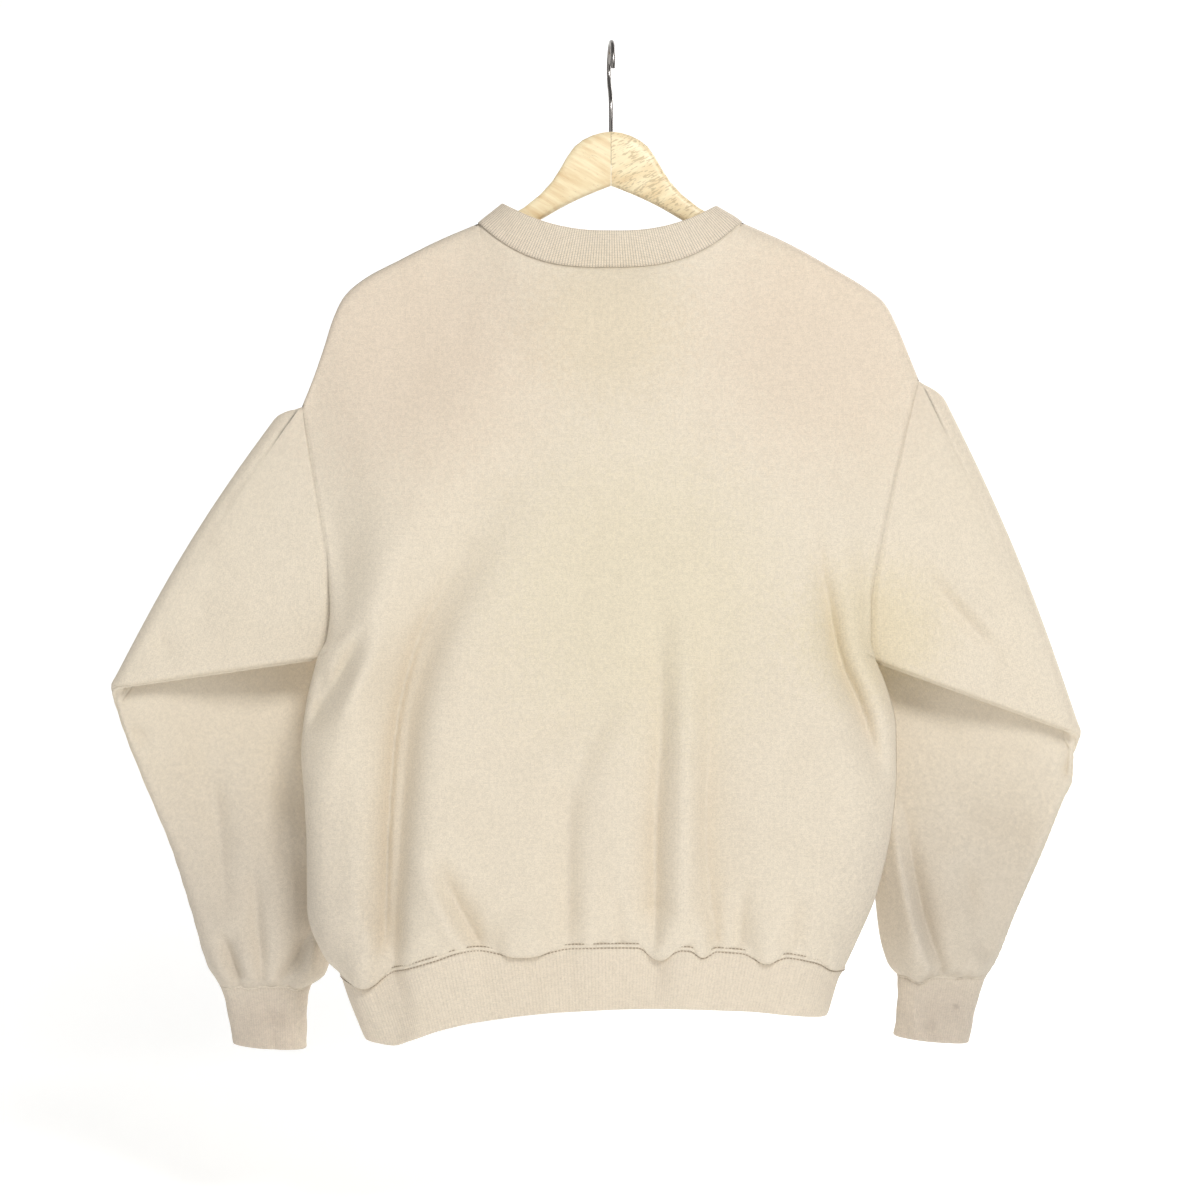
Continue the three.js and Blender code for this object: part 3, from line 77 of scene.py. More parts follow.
BAND_SEAM = {
    "back": [(-228, -789), (-205, -787), (-178, -780), (-150, -771), (-118, -762), (-60, -761),
             (0, -759), (94, -763), (150, -768), (176, -775), (197, -784)],
    "front": [(-228, -789), (-190, -780), (-120, -771), (0, -766), (110, -768), (165, -776),
              (197, -784)],
}
HEM = {
    "back": [(-208, -844), (-184, -846), (-167, -840), (-145, -832), (-110, -824), (-43, -816),
             (33, -813), (110, -815), (150, -819), (182, -824)],
    "front": [(-208, -844), (-160, -835), (-90, -820), (0, -812), (90, -811), (150, -816),
              (182, -824)],
}
FRONT_SCOOP = 11
ARMHOLE_OPEN = 11
ARMHOLE_END = 4
ARMHOLE_LENGTH = 215
RIDGE = 7.7
RIDGE_END = 258
HANGER_TIP = 220
UNDERARM_HEIGHT = 0.56
NECK_SHARE = 0.4

# Neck seam and the collar's free edge
NECK_ENDS = {"left": (-112, -153), "right": (110, -152)}
NECK = {"back_drop": 40, "back_power": 2.8, "front_drop": 96, "back_depth": 27, "front_depth": 31}
COLLAR_ENDS = {"left": (-91, -136), "right": (89, -138)}
COLLAR_TOP = {"back_drop": 24, "back_power": 2.4, "front_drop": 82, "back_depth": 24, "front_depth": 27}
NECK_ROUND = 0.62
FRONT_NECK_ROUND = 1.25

# Half the body's depth at its middle: columns z, back, front
BODY_DEPTH = [
    (-850, 44, 42), (-800, 48, 46), (-760, 56, 54), (-700, 61, 57), (-620, 57, 53), (-521, 48, 47),
    (-400, 39, 41), (-300, 33, 37), (-190, 30, 34),
]
DEPTH_RUN = (110, 260)
NECK_RUN = 110
SIDE_ROUND = {"back": 62, "front": 115}
ARM_ROUND = 75
ARM_BLEND = 0.6
FOLD_CLEAR = {"side": 14, "top": 60}
SET_BACK_REACH = 150
EDGE_REACH = 22
SIDE_SET_BACK = 8
BAND_FOLD_SHARE = 0.5
HEM_FOLD_SHARE = 0.28
POUCH_HEIGHT = 0.085

# Large folds: columns z, x, lift, reach to the left, reach to the right
FOLDS = {
    "back": [
        [(-330, -60, 0, 44, 34), (-409, -109, -6, 38, 26), (-513, -158, -19, 36, 17),
         (-582, -173, -25, 34, 14), (-666, -178, -29, 32, 12), (-779, -183, -27, 30, 10),
         (-850, -180, -26, 30, 14)],
        [(-350, -135, 0, 20, 20), (-464, -193, 7, 20, 20), (-530, -206, 8, 18, 20), (-620, -218, 0, 18, 20)],
        [(-430, -80, 0, 30, 40), (-560, -138, 7, 20, 44), (-700, -146, 8, 18, 40), (-790, -150, 5, 18, 30)],
        [(-480, -197, 0, 12, 10), (-530, -220, -7, 12, 10), (-566, -245, -7, 10, 12),
         (-585, -256, 0, 10, 12)],
        [(-555, -205, 0, 14, 14), (-656, -226, -7, 14, 16), (-701, -227, -7, 14, 16),
         (-745, -225, 0, 14, 16)],
        [(-545, 14, 0, 34, 20), (-600, -22, -5, 34, 16), (-660, -36, -8, 30, 12), (-790, -37, -9, 26, 12)],
        [(-440, 40, 0, 20, 14), (-567, 42, -6, 20, 13), (-700, 36, -10, 18, 12), (-790, 36, -10, 16, 12)],
        [(-450, 60, 0, 14, 14), (-567, 61, 7, 13, 13), (-740, 59, 10, 13, 13), (-800, 59, 4, 13, 13)],
        [(-440, 80, 0, 14, 24), (-567, 81, -6, 13, 26), (-700, 80, -8, 12, 24), (-790, 88, -7, 12, 20)],
        [(-335, 146, 0, 26, 22), (-419, 173, -6, 22, 15), (-518, 192, -15, 20, 11),
         (-567, 211, -15, 20, 11), (-640, 228, 0, 16, 11)],
        [(-670, -150, 0, 14, 20), (-723, -128, -6, 13, 20), (-770, -108, -8, 12, 20),
         (-800, -104, 0, 12, 20)],
    ],
    "front": [
        [(-320, -96, 0, 34, 30), (-450, -146, -8, 30, 24), (-600, -132, -15, 26, 20),
         (-790, -112, -17, 22, 18), (-850, -108, -14, 22, 18)],
        [(-440, -60, 0, 24, 24), (-600, -78, 8, 20, 24), (-800, -66, 6, 20, 22)],
        [(-430, 8, 0, 22, 22), (-580, -2, -8, 20, 16), (-790, -12, -12, 18, 14), (-850, -12, -9, 18, 14)],
        [(-460, 60, 0, 26, 26), (-640, 48, 8, 24, 22), (-800, 42, 4, 20, 20)],
        [(-350, 104, 0, 30, 30), (-500, 132, -10, 24, 24), (-650, 112, -15, 20, 20),
         (-790, 96, -14, 18, 18), (-850, 92, -10, 18, 18)],
        [(-560, 176, 0, 18, 18), (-680, 158, 8, 18, 18), (-800, 148, 5, 16, 16)],
    ],
}

# Cloth pouches over the waistband: columns x, half width, dip of the seam, stand-out
POUCHES = {
    "back": [(-206, 25, 9, 9), (-73, 40, 6, 8), (40, 19, 10, 10), (76, 12, 6, 5), (128, 19, 7, 7),
             (184, 13, 3, 5)],
    "front": [(-172, 30, 7, 8), (-72, 30, 7, 9), (24, 26, 6, 8), (60, 14, 5, 5), (138, 26, 7, 8)],
}

# Smaller creases, each a line that runs downwards: columns x, z, lift, reach to its left and right
BODY_CREASES = {
    "back": [
        [(-104, -395, 0, 9, 6), (-138, -459, -2, 8, 5), (-165, -513, -5, 8, 4), (-181, -582, -7, 7, 4),
         (-187, -666, -7, 7, 4), (-190, -760, -4, 7, 4)],
        [(14, -543, 0, 20, 14), (-40, -580, -4, 22, 16), (-109, -617, 0, 20, 18)],
        [(-148, -680, 0, 7, 8), (-130, -722, -5, 6, 9), (-109, -762, -4, 6, 9)],
        [(-160, -685, 0, 8, 7), (-143, -725, 4, 8, 7), (-124, -764, 3, 8, 7)],
        [(-202, -488, 0, 7, 6), (-225, -530, -4, 7, 6), (-252, -572, -2, 6, 6)],
        [(-188, -500, 0, 9, 9), (-212, -545, 3, 9, 9), (-232, -588, 0, 9, 9)],
        [(-236, -530, 0, 5, 4), (-245, -545, -3, 5, 4), (-256, -552, -1, 5, 4)],
        [(9, -557, 0, 8, 6), (-20, -597, -1, 9, 6), (-35, -631, -1, 9, 6), (-36, -715, -2, 9, 6),
         (-37, -757, -2, 8, 5)],
        [(40, -500, 0, 7, 6), (42, -567, -2, 7, 5), (37, -666, -4, 8, 5), (37, -755, -4, 7, 5)],
        [(81, -500, 0, 5, 7), (81, -567, -2, 5, 7), (78, -666, -3, 5, 8), (86, -754, -3, 5, 7)],
        [(165, -400, 0, 8, 5), (182, -469, -4, 8, 5), (192, -518, -5, 8, 4), (212, -567, -5, 8, 4),
         (226, -622, 0, 6, 4)],
        [(226, -418, 0, 5, 5), (214, -459, -2, 5, 5), (215, -498, -3, 5, 5), (226, -532, 0, 5, 5)],
        [(112, -700, 0, 8, 8), (108, -740, -4, 7, 8), (107, -764, -3, 6, 7)],
        [(150, -705, 0, 8, 8), (152, -742, -3, 7, 7), (150, -766, -3, 6, 6)],
        [(-5, -690, 0, 9, 9), (4, -735, -3, 8, 8), (8, -757, -2, 7, 7)],
        [(-222, -700, 0, 9, 9), (-206, -745, 3, 9, 9), (-198, -780, 0, 9, 9)],
    ],
    "front": [
        [(-150, -420, 0, 9, 7), (-150, -500, -3, 9, 6), (-134, -600, -4, 9, 6), (-114, -762, -3, 8, 6)],
        [(0, -480, 0, 8, 7), (-4, -600, -3, 8, 6), (-12, -760, -3, 8, 6)],
        [(118, -430, 0, 8, 8), (130, -520, -3, 7, 8), (108, -660, -4, 7, 8), (97, -762, -3, 7, 8)],
        [(-215, -470, 0, 7, 7), (-232, -530, -3, 7, 7), (-246, -580, 0, 7, 7)],
        [(212, -470, 0, 7, 7), (216, -530, -3, 7, 7), (226, -580, 0, 7, 7)],
        [(20, -690, 0, 9, 9), (6, -760, -3, 8, 8)],
        [(150, -700, 0, 9, 9), (166, -768, -3, 8, 8)],
        [(-190, -690, 0, 9, 9), (-204, -772, -3, 8, 8)],
    ],
}
SLEEVE_CREASES = {
    "left": {
        "upper": [
            [(-298, -480, 0, 9, 8), (-299, -505, -3, 9, 8), (-295, -528, -2, 8, 7)],
            [(-392, -496, 0, 9, 9), (-380, -512, -2, 9, 9), (-364, -525, 0, 9, 9)],
            [(-266, -484, 0, 7, 6), (-257, -502, -3, 7, 5), (-252, -516, -1, 6, 5)],
            [(-412, -540, 0, 5, 5), (-420, -556, -2.5, 5, 5), (-426, -566, 0, 5, 5)],
            [(-330, -440, 0, 16, 16), (-345, -480, -1.6, 16, 16), (-352, -520, 0, 16, 16)],
        ],
        "lower": [
            [(-350, -600, 0, 15, 15), (-341, -650, -4, 15, 13), (-335, -715, -3, 14, 12),
             (-330, -750, 0, 14, 12)],
            [(-310, -690, 0, 12, 11), (-305, -745, -5, 12, 9), (-301, -795, -4, 10, 7)],
            [(-336, -755, 0, 7, 7), (-330, -775, -4, 7, 6), (-321, -795, -4, 6, 5)],
            [(-253, -745, 0, 6, 7), (-266, -772, -5, 6, 7), (-284, -796, -4, 5, 6)],
            [(-395, -600, 0, 6, 6), (-404, -586, -2.5, 6, 6), (-412, -578, 0, 6, 6)],
            [(-290, -560, 0, 18, 18), (-282, -640, -2.5, 18, 18), (-285, -720, 0, 16, 16)],
        ],
    },
    "right": {
        "upper": [
            [(229, -404, 0, 5, 9), (250, -435, -5, 5, 10), (273, -461, -7, 5, 11), (297, -487, -6, 6, 11),
             (334, -526, 0, 9, 12)],
            [(236, -400, 0, 12, 6), (276, -447, 4, 12, 6), (305, -478, 3, 12, 7), (335, -510, 0, 12, 8)],
            [(264, -470, 0, 8, 8), (260, -492, -3, 8, 8), (256, -516, -1, 8, 8)],
            [(318, -512, 0, 12, 12), (322, -530, -2, 12, 12), (330, -545, 0, 12, 12)],
        ],
        "lower": [
            [(398, -600, 0, 6, 6), (392, -614, -3, 6, 6), (384, -626, 0, 6, 6)],
            [(277, -651, 0, 14, 14), (320, -667, -3, 14, 14), (362, -679, 0, 14, 14)],
            [(300, -690, 0, 11, 11), (308, -722, -4, 11, 10), (315, -750, -1, 10, 9)],
            [(316, -757, 0, 8, 8), (321, -770, -2.5, 8, 8), (324, -786, 0, 8, 8)],
            [(240, -640, 0, 9, 8), (246, -690, 5, 10, 7), (256, -742, 7, 11, 6), (272, -788, 5, 10, 5)],
            [(250, -640, 0, 6, 8), (258, -690, -4, 6, 9), (269, -742, -6, 6, 9), (285, -790, -4, 6, 8)],
        ],
    },
}
CUFF_CREASES = {
    "left": [
        [(-296, -808, 0, 12, 12), (-297, -822, -2.5, 12, 12), (-300, -842, 0, 10, 10)],
        [(-293, -838, 0, 4, 4), (-290, -852, -2.2, 4, 3), (-289, -864, -2.2, 4, 3)],
        [(-280, -830, 0, 6, 5), (-281, -850, 1.6, 6, 5), (-281, -864, 1.6, 6, 5)],
    ],
    "right": [
        [(263, -802, 0, 6, 5), (262, -830, 2, 6, 5), (263, -856, 0, 6, 5)],
        [(274, -805, 0, 6, 8), (272, -826, -2, 6, 8), (274, -846, 0, 6, 8)],
        [(252, -820, 0, 5, 5), (254, -838, -1.2, 5, 5), (252, -856, 0, 5, 5)],
    ],
}

# Sleeves, folded over a slanting line towards the garment's front
ELBOW = {"left": (-430, -547), "right": (404, -588)}
TAPER = {"left": 10, "right": 12.3}
LEAN = {"left": 38, "right": 32}
FOLD_RADIUS = 8
FOLD_BOW = 7
FOLD_START = 2
FOLD_LAYERS = 5
LEAN_RUN = 110
HANGING_EDGES = {
    "left": {
        "outer": [(-413, -591), (-396, -642), (-378, -693), (-362, -744), (-349, -788), (-338, -806)],
        "inner": [(-259, -420), (-250, -560), (-243, -700), (-243, -770), (-249, -796), (-262, -806)],
    },
    "right": {
        "outer": [(393, -625), (386, -642), (368, -693), (348, -744), (332, -784), (323, -798)],
        "inner": [(256, -420), (227, -548), (228, -690), (233, -755), (241, -786), (250, -797)],
    },
}
# Sections of the hanging part: columns share of its length, edge radius, fill of its middle
HANGING = [
    (0, 4.6, 0), (0.08, 5, 1), (0.2, 7, 3), (0.34, 8, 5), (0.5, 9, 7), (0.66, 10, 9), (0.8, 12, 11),
    (0.91, 14, 12), (0.965, 15, 9), (1, 12, 3),
]
# Pouches over the cuff: columns share of the way across from the seam, half width, dip, stand-out
SLEEVE_POUCHES = {
    "left": {"front": [(0.1, 0.13, 2.5, 3), (0.36, 0.14, 2, 4), (0.87, 0.14, 3, 5)],
             "back": [(0.2, 0.16, 2, 3), (0.5, 0.15, 2, 4), (0.8, 0.16, 2, 3)]},
    "right": {"front": [(0.2, 0.2, -1, 2), (0.52, 0.16, -1, 2), (0.78, 0.15, 5, 6)],
              "back": [(0.18, 0.16, 2, 3), (0.5, 0.17, 2, 4), (0.82, 0.15, 2, 3)]},
}
SLEEVE_POUCH_START = 0.84
# Cuffs: columns x, z, y, half width, half depth and tilt of the free edge
CUFF = {"left": (-296, -859, 52, 30, 20, -2), "right": (277, -852, 46, 31, 20, -3)}
# Waist of a cuff: columns share down, how far it draws in
CUFF_WAIST = [(0, 0), (0.3, 0.045), (0.65, 0.03), (1, 0)]

# Fine grids
SHOULDER_STEPS = 56
NECK_STEPS = 80
SIDE_STEPS = 80
ARMHOLE_STEPS = 74
TRIANGLE_STEPS = 40
BEND_STEPS = 14
HANGING_STEPS = 100

# Powers with which the band seam and the top edge bend a panel's rows, less and less away from them
BAND_POWER = 2.5
TOP_POWER = 2.2
BOW_POWER = 1.5
# Evening out of the depth below the neck's corners: reach across, start, hold and fade down, side inset
NECK_SOFT = {"reach": 17, "start": 16, "hold": 70, "fade": 130, "inset": 40}
POUCH_RISE = 0.75
POUCH_POWER = 0.8
POUCH_FULL = 6
# Soft unevenness of the cloth: columns height, seed, length of the waves
BODY_WAVES = [(0.9, 11, 130), (0.14, 31, 38)]
UPPER_WAVES = [(0.8, 71, 110), (0.3, 72, 34)]
LOWER_WAVES = [(0.9, 73, 100), (0.3, 74, 36)]
# Small puckers along the seams, and the slow drift of their rows
PUCKER = {"wave": 11, "height": 0.8, "reach": 14}
PUCKER_SHARE = {"band": 0.9, "armhole": 0.5, "cuff": 0.7}
PUCKER_START = 5
DRIFT = {"flat": 0.3, "seed": 51, "wave": 70, "band": 2.2, "armhole": 2.0}
GATHER = {"start": 0.93, "run": 0.05, "end": 0.012, "drift": 1.5, "seed": 75, "wave": 40}
# Creases fade towards the waistband, over the given height
CREASE_AT_BAND = 0.35
CREASE_RISE = 18
# A pouch's lowest cloth hangs a little past the seam
OVERHANG = 2.6
OVERHANG_SHARE = 0.02
HEM_ACROSS = 390
HEM_ROUND = 0.8
HEM_CLEAR = 14
SEAM_STEP = 0.01
HALF_FLEECE = 1.2
# Sleeves: edge radii of the flat part, how soon it lies straight, and how far relief stays off its edges
FLAT_EDGE = (4, 4.6)
STRAIGHTEN = 1.2
UPPER_CLEAR = (14, 20)
LOWER_CLEAR = 10
BOW_END = 0.12
CUFF_DIP_START = 0.9
CUFF_CLEAR = 0.02


def lerp(a, b, t):
    return a + (b - a) * t


def ease(t):
    t = np.clip(t, 0, 1)
    return t * t * (3 - 2 * t)


def quarter_round(t):
    return np.sqrt(1 - (1 - np.clip(t, 0, 1)) ** 2)


def arch(t):
    return np.clip(np.sin(np.pi * np.asarray(t, float)), 0, 1)


def unit(vectors):
    return vectors / np.maximum(np.linalg.norm(vectors, axis=-1, keepdims=True), 1e-9)


def smooth_column(xs, ys):
    """A smooth function through the points of two columns that doesn't overshoot them."""
    order = np.argsort(xs)
    xs, ys = np.array(xs, float)[order], np.array(ys, float)[order]
    rise = np.diff(ys) / np.diff(xs)
    product, total = rise[:-1] * rise[1:], rise[:-1] + rise[1:]
    slope = np.empty(len(ys))
    slope[0], slope[-1] = rise[0], rise[-1]
    slope[1:-1] = np.where(product > 0, 2 * product / np.where(product > 0, total, 1), 0)

    def at(x):
        x = np.clip(x, xs[0], xs[-1])
        i = np.clip(np.searchsorted(xs, x, side="right") - 1, 0, len(xs) - 2)
        width = xs[i + 1] - xs[i]
        t = (x - xs[i]) / width
        leaving, arriving = t * (1 - t) ** 2 * width * slope[i], t * t * (t - 1) * width * slope[i + 1]
        return lerp(ys[i], ys[i + 1], ease(t)) + leaving + arriving

    return at


def smooth_path(rows):
    """A smooth path through x, z rows, from t = 0 to t = 1 by chord length."""
    rows = np.array(rows, float)
    along = np.concatenate([[0], np.cumsum(np.linalg.norm(np.diff(rows, axis=0), axis=1))])
    x, z = (smooth_column(along / along[-1], rows[:, k]) for k in (0, 1))
    return lambda t: np.stack([x(t), z(t)], axis=-1)


SIDE_PATH = {side: smooth_path(rows) for side, rows in SIDE_SEAM.items()}
ARMHOLE_PATH = {side: smooth_path(rows) for side, rows in ARMHOLE.items()}
SHOULDER_PATH = {side: smooth_path(rows) for side, rows in SHOULDER.items()}
BAND_PATH = {face: smooth_path(rows) for face, rows in BAND_SEAM.items()}
HEM_PATH = {face: smooth_path(rows) for face, rows in HEM.items()}
DEPTH_AT = {
    face: smooth_column([row[0] for row in BODY_DEPTH], [row[k] for row in BODY_DEPTH])
    for face, k in (("back", 1), ("front", 2))
}
ARCH_ROWS = SHOULDER["left"] + NECK_ARCH + SHOULDER["right"]
shoulder_height = smooth_column([row[0] for row in ARCH_ROWS], [row[1] for row in ARCH_ROWS])


def fold_lift(face, x, z):
    """How far the large folds of a face lift the cloth."""
    lift = np.zeros_like(x)
    for rows in FOLDS[face]:
        table = np.array(rows, float)
        centre, height, left, right = (smooth_column(table[:, 0], table[:, k])(z) for k in (1, 2, 3, 4))
        away = x - centre
        inside = (z > table[:, 0].min()) & (z < table[:, 0].max())
        lift += inside * height * np.exp(-((away / np.where(away < 0, left, right)) ** 2))
    return lift


CREASE_POWER = 1.5
CREASE_GAIN = {"body": 1.3, "upper": 1.8, "lower": 1.5}
CREASE_SAMPLES = 22


def crease_lift(lines, x, z):
    """How far small creases, given as lines that run downwards, lift the cloth."""
    lift = np.zeros_like(x)
    for rows in lines:
        table = np.array(rows, float)
        chord = np.concatenate([[0], np.cumsum(np.linalg.norm(np.diff(table[:, :2], axis=0), axis=1))])
        at = np.linspace(0, chord[-1], CREASE_SAMPLES)
        line = np.stack([smooth_column(chord, table[:, k])(at) for k in range(5)], axis=1)
        reach = 3 * table[:, 3:].max()
        near = (x > table[:, 0].min() - reach) & (x < table[:, 0].max() + reach)
        near &= (z > table[:, 1].min() - reach) & (z < table[:, 1].max() + reach)
        if not near.any():
            continue
        px, pz = x[near], z[near]
        best = np.full(px.shape, 1e9)
        value = np.zeros(px.shape)
        for a, b in zip(line[:-1], line[1:]):
            dx, dz = b[0] - a[0], b[1] - a[1]
            t = np.clip(((px - a[0]) * dx + (pz - a[1]) * dz) / (dx * dx + dz * dz), 0, 1)
            ox, oz = px - a[0] - t * dx, pz - a[1] - t * dz
            away = np.hypot(ox, oz)
            width = np.where(dx * oz - dz * ox < 0, lerp(a[3], b[3], t), lerp(a[4], b[4], t))
            here = lerp(a[2], b[2], t) * np.exp(-((away / width) ** CREASE_POWER))
            closer = away < best
            best, value = np.where(closer, away, best), np.where(closer, here, value)
        lift[near] += value
    return lift


def unevenness(x, z, seed, wave, count=9):
    """Soft waves of about the given length in all directions, between about -1 and 1."""
    random = np.random.default_rng(seed)
    total = np.zeros_like(x)
    for _ in range(count):
        angle, phase = random.uniform(0, 2 * np.pi), random.uniform(0, 2 * np.pi)
        stretch = random.uniform(0.7, 1.5)
        total += np.sin(2 * np.pi * (x * np.cos(angle) + z * np.sin(angle)) / (wave * stretch) + phase)
    return total / math.sqrt(count)


def waves_of(table, x, z, shift=0):
    """Waves of several lengths, added up."""
    return sum(height * unevenness(x, z, seed + shift, wave) for height, seed, wave in table)


def pouch(rows, x, column):
    """Sum of rounded pouches across x. Column 2 is the dip and 3 the stand-out."""
    total = np.zeros_like(x)
    for row in rows:
        total += row[column] * 0.5 * (1 + np.cos(np.pi * np.clip(np.abs(x - row[0]) / row[1], 0, 1)))
    return total


def neck_edge(face, t, size, ends):
    """The neck seam or the collar's free edge: t runs from the left shoulder to the right one."""
    t = np.asarray(t, float)
    across = (1 - np.cos(np.pi * t)) / 2
    start = lerp(ends["left"][1], ends["right"][1], across)
    sine = arch(t)
    if face == "back":
        drop = size["back_drop"] * (1 - np.abs(2 * across - 1) ** size["back_power"])
    else:
        drop = size["front_drop"] * sine**FRONT_NECK_ROUND
    depth = FACE[face] * size[face + "_depth"] * sine**NECK_ROUND
    return np.stack([lerp(ends["left"][0], ends["right"][0], across), depth, start - drop], axis=-1)


def seam_of_neck(face, t):
    return neck_edge(face, t, NECK, NECK_ENDS)


def round_the_end(point, face, at):
    """A seam's point at any parameter, which goes on along the other face past 0 and past 1."""
    at = np.asarray(at, float)
    same = point(face, np.clip(at, 0, 1))
    other = point(OTHER[face], np.where(at < 0, -at, np.clip(2 - at, 0, 1)))
    return np.where(((at < 0) | (at > 1))[..., None], other, same)


def armhole_depth(t):
    end = np.minimum(t, 1 - t) * ARMHOLE_LENGTH / ARMHOLE_END
    return ARMHOLE_END * quarter_round(end) + ARMHOLE_OPEN * arch(t) ** BOW_POWER


def armhole_point(side, face, t):
    at = ARMHOLE_PATH[side](t)
    scoop = FRONT_SCOOP * arch(t) ** BOW_POWER if face == "front" else 0
    return np.stack([at[..., 0] - SIGN[side] * scoop, FACE[face] * armhole_depth(t), at[..., 1]], axis=-1)


armhole_level = smooth_column([0, 0.12, 0.5, 0.9, 1], [0.9, 0.15, 0, -0.15, -0.8])


def armhole_normal(side, face, t):
    """Outward normal of the cloth along the armhole seam."""
    point = lambda which, at: armhole_point(side, which, at)
    step = 0.002
    along = round_the_end(point, face, t + step) - round_the_end(point, face, t - step)
    level = armhole_level(t)
    outward = unit(np.stack([np.full_like(level, SIGN[side]), np.zeros_like(level), level], axis=-1))
    normal = unit(np.cross(along, outward))
    return normal * (SIGN[side] if face == "back" else -SIGN[side])


def collar_frame(face, t):
    """Low and high edge of the collar, and the cloth's outward normal there."""
    low, high = seam_of_neck(face, t), neck_edge(face, t, COLLAR_TOP, COLLAR_ENDS)
    before, after = (round_the_end(seam_of_neck, face, t + step) for step in (-SEAM_STEP, SEAM_STEP))
    along = after - before
    normal = unit(np.cross(along, high - low))
    return low, high, -normal if face == "back" else normal


def in_plane_normal(path, side, t):
    """Normal of a seam in the plane of the hanging cloth, away from the body."""
    a, b = path(np.clip(t - SEAM_STEP, 0, 1)), path(np.clip(t + SEAM_STEP, 0, 1))
    d = SIGN[side] * (b - a)
    return unit(np.stack([d[..., 1], np.zeros_like(d[..., 0]), -d[..., 0]], axis=-1))


def spread_ends(count, share=0.6):
    """Parameters from 0 to 1, closer together near both ends."""
    u = np.linspace(0, 1, count + 1)
    return lerp(u, (1 - np.cos(np.pi * u)) / 2, share)


ARMHOLE_T = spread_ends(ARMHOLE_STEPS)
SIDE_T = np.linspace(0, 1, SIDE_STEPS + 1)[:-1] ** 1.3
NECK_T = spread_ends(NECK_STEPS, 0.3)
SHOULDER_T = np.linspace(0, 1, SHOULDER_STEPS + 1)[:-1]


def panel_columns(face):
    """Share across of each column, and where it meets the top edge."""
    shoulder = (1 - NECK_SHARE) / 2
    share = np.concatenate([
        shoulder * SHOULDER_T, shoulder + NECK_SHARE * NECK_T, 1 - shoulder * SHOULDER_T[::-1],
    ])
    left, right = SHOULDER_PATH["left"](SHOULDER_T), SHOULDER_PATH["right"](SHOULDER_T[::-1])
    left, right = (np.stack([p[:, 0], 0 * p[:, 0], p[:, 1]], axis=-1) for p in (left, right))
    return share, np.concatenate([left, seam_of_neck(face, NECK_T), right])


ROW_HEIGHT = np.concatenate([SIDE_T * UNDERARM_HEIGHT, lerp(UNDERARM_HEIGHT, 1, ARMHOLE_T)])
ROW_T = np.concatenate([SIDE_T, ARMHOLE_T])
AT_ARMHOLE = np.arange(len(ROW_T)) >= len(SIDE_T)


def softened(x, values, reach):
    """Values of a grid, evened out across x over the given reach."""
    soft = values.copy()
    away = np.arange(-3 * reach, 3 * reach + 1)
    weight = np.exp(-((away / reach) ** 2) / 2)
    weight /= weight.sum()
    for i in range(len(values)):
        steady = np.maximum.accumulate(x[i])
        even = np.arange(steady[0], steady[-1] + 1)
        ends = np.pad(np.interp(even, steady, values[i]), 3 * reach, mode="edge")
        soft[i] = np.interp(steady, even, np.convolve(ends, weight, mode="valid"))
    return soft


def panel_relief(face, x, z, up, inset, below, blend):
    """Small creases, unevenness, and puckers along the waistband and the armholes of a panel."""
    seed = len(face)
    creases = CREASE_GAIN["body"] * crease_lift(BODY_CREASES[face], x, z)
    small = creases * lerp(CREASE_AT_BAND, 1, ease(up / CREASE_RISE)) + waves_of(BODY_WAVES, x, z, seed)
    drift = unevenness(x, z * DRIFT["flat"], DRIFT["seed"] + seed, DRIFT["wave"])
    at_band = np.sin(np.pi * x / PUCKER["wave"] + DRIFT["band"] * drift) * np.exp(-up / (2 * PUCKER["reach"]))
    small = small + PUCKER_SHARE["band"] * PUCKER["height"] * at_band * ease(up / PUCKER_START)
    near_arm = np.exp(-((inset / PUCKER["reach"]) ** 2)) * blend
    at_arm = np.sin(2 * np.pi * z / PUCKER["wave"] + DRIFT["armhole"] * drift) * near_arm
    small = small + PUCKER_SHARE["armhole"] * PUCKER["height"] * at_arm
    return small * ease(inset / FOLD_CLEAR["side"]) * ease(below / FOLD_CLEAR["side"])


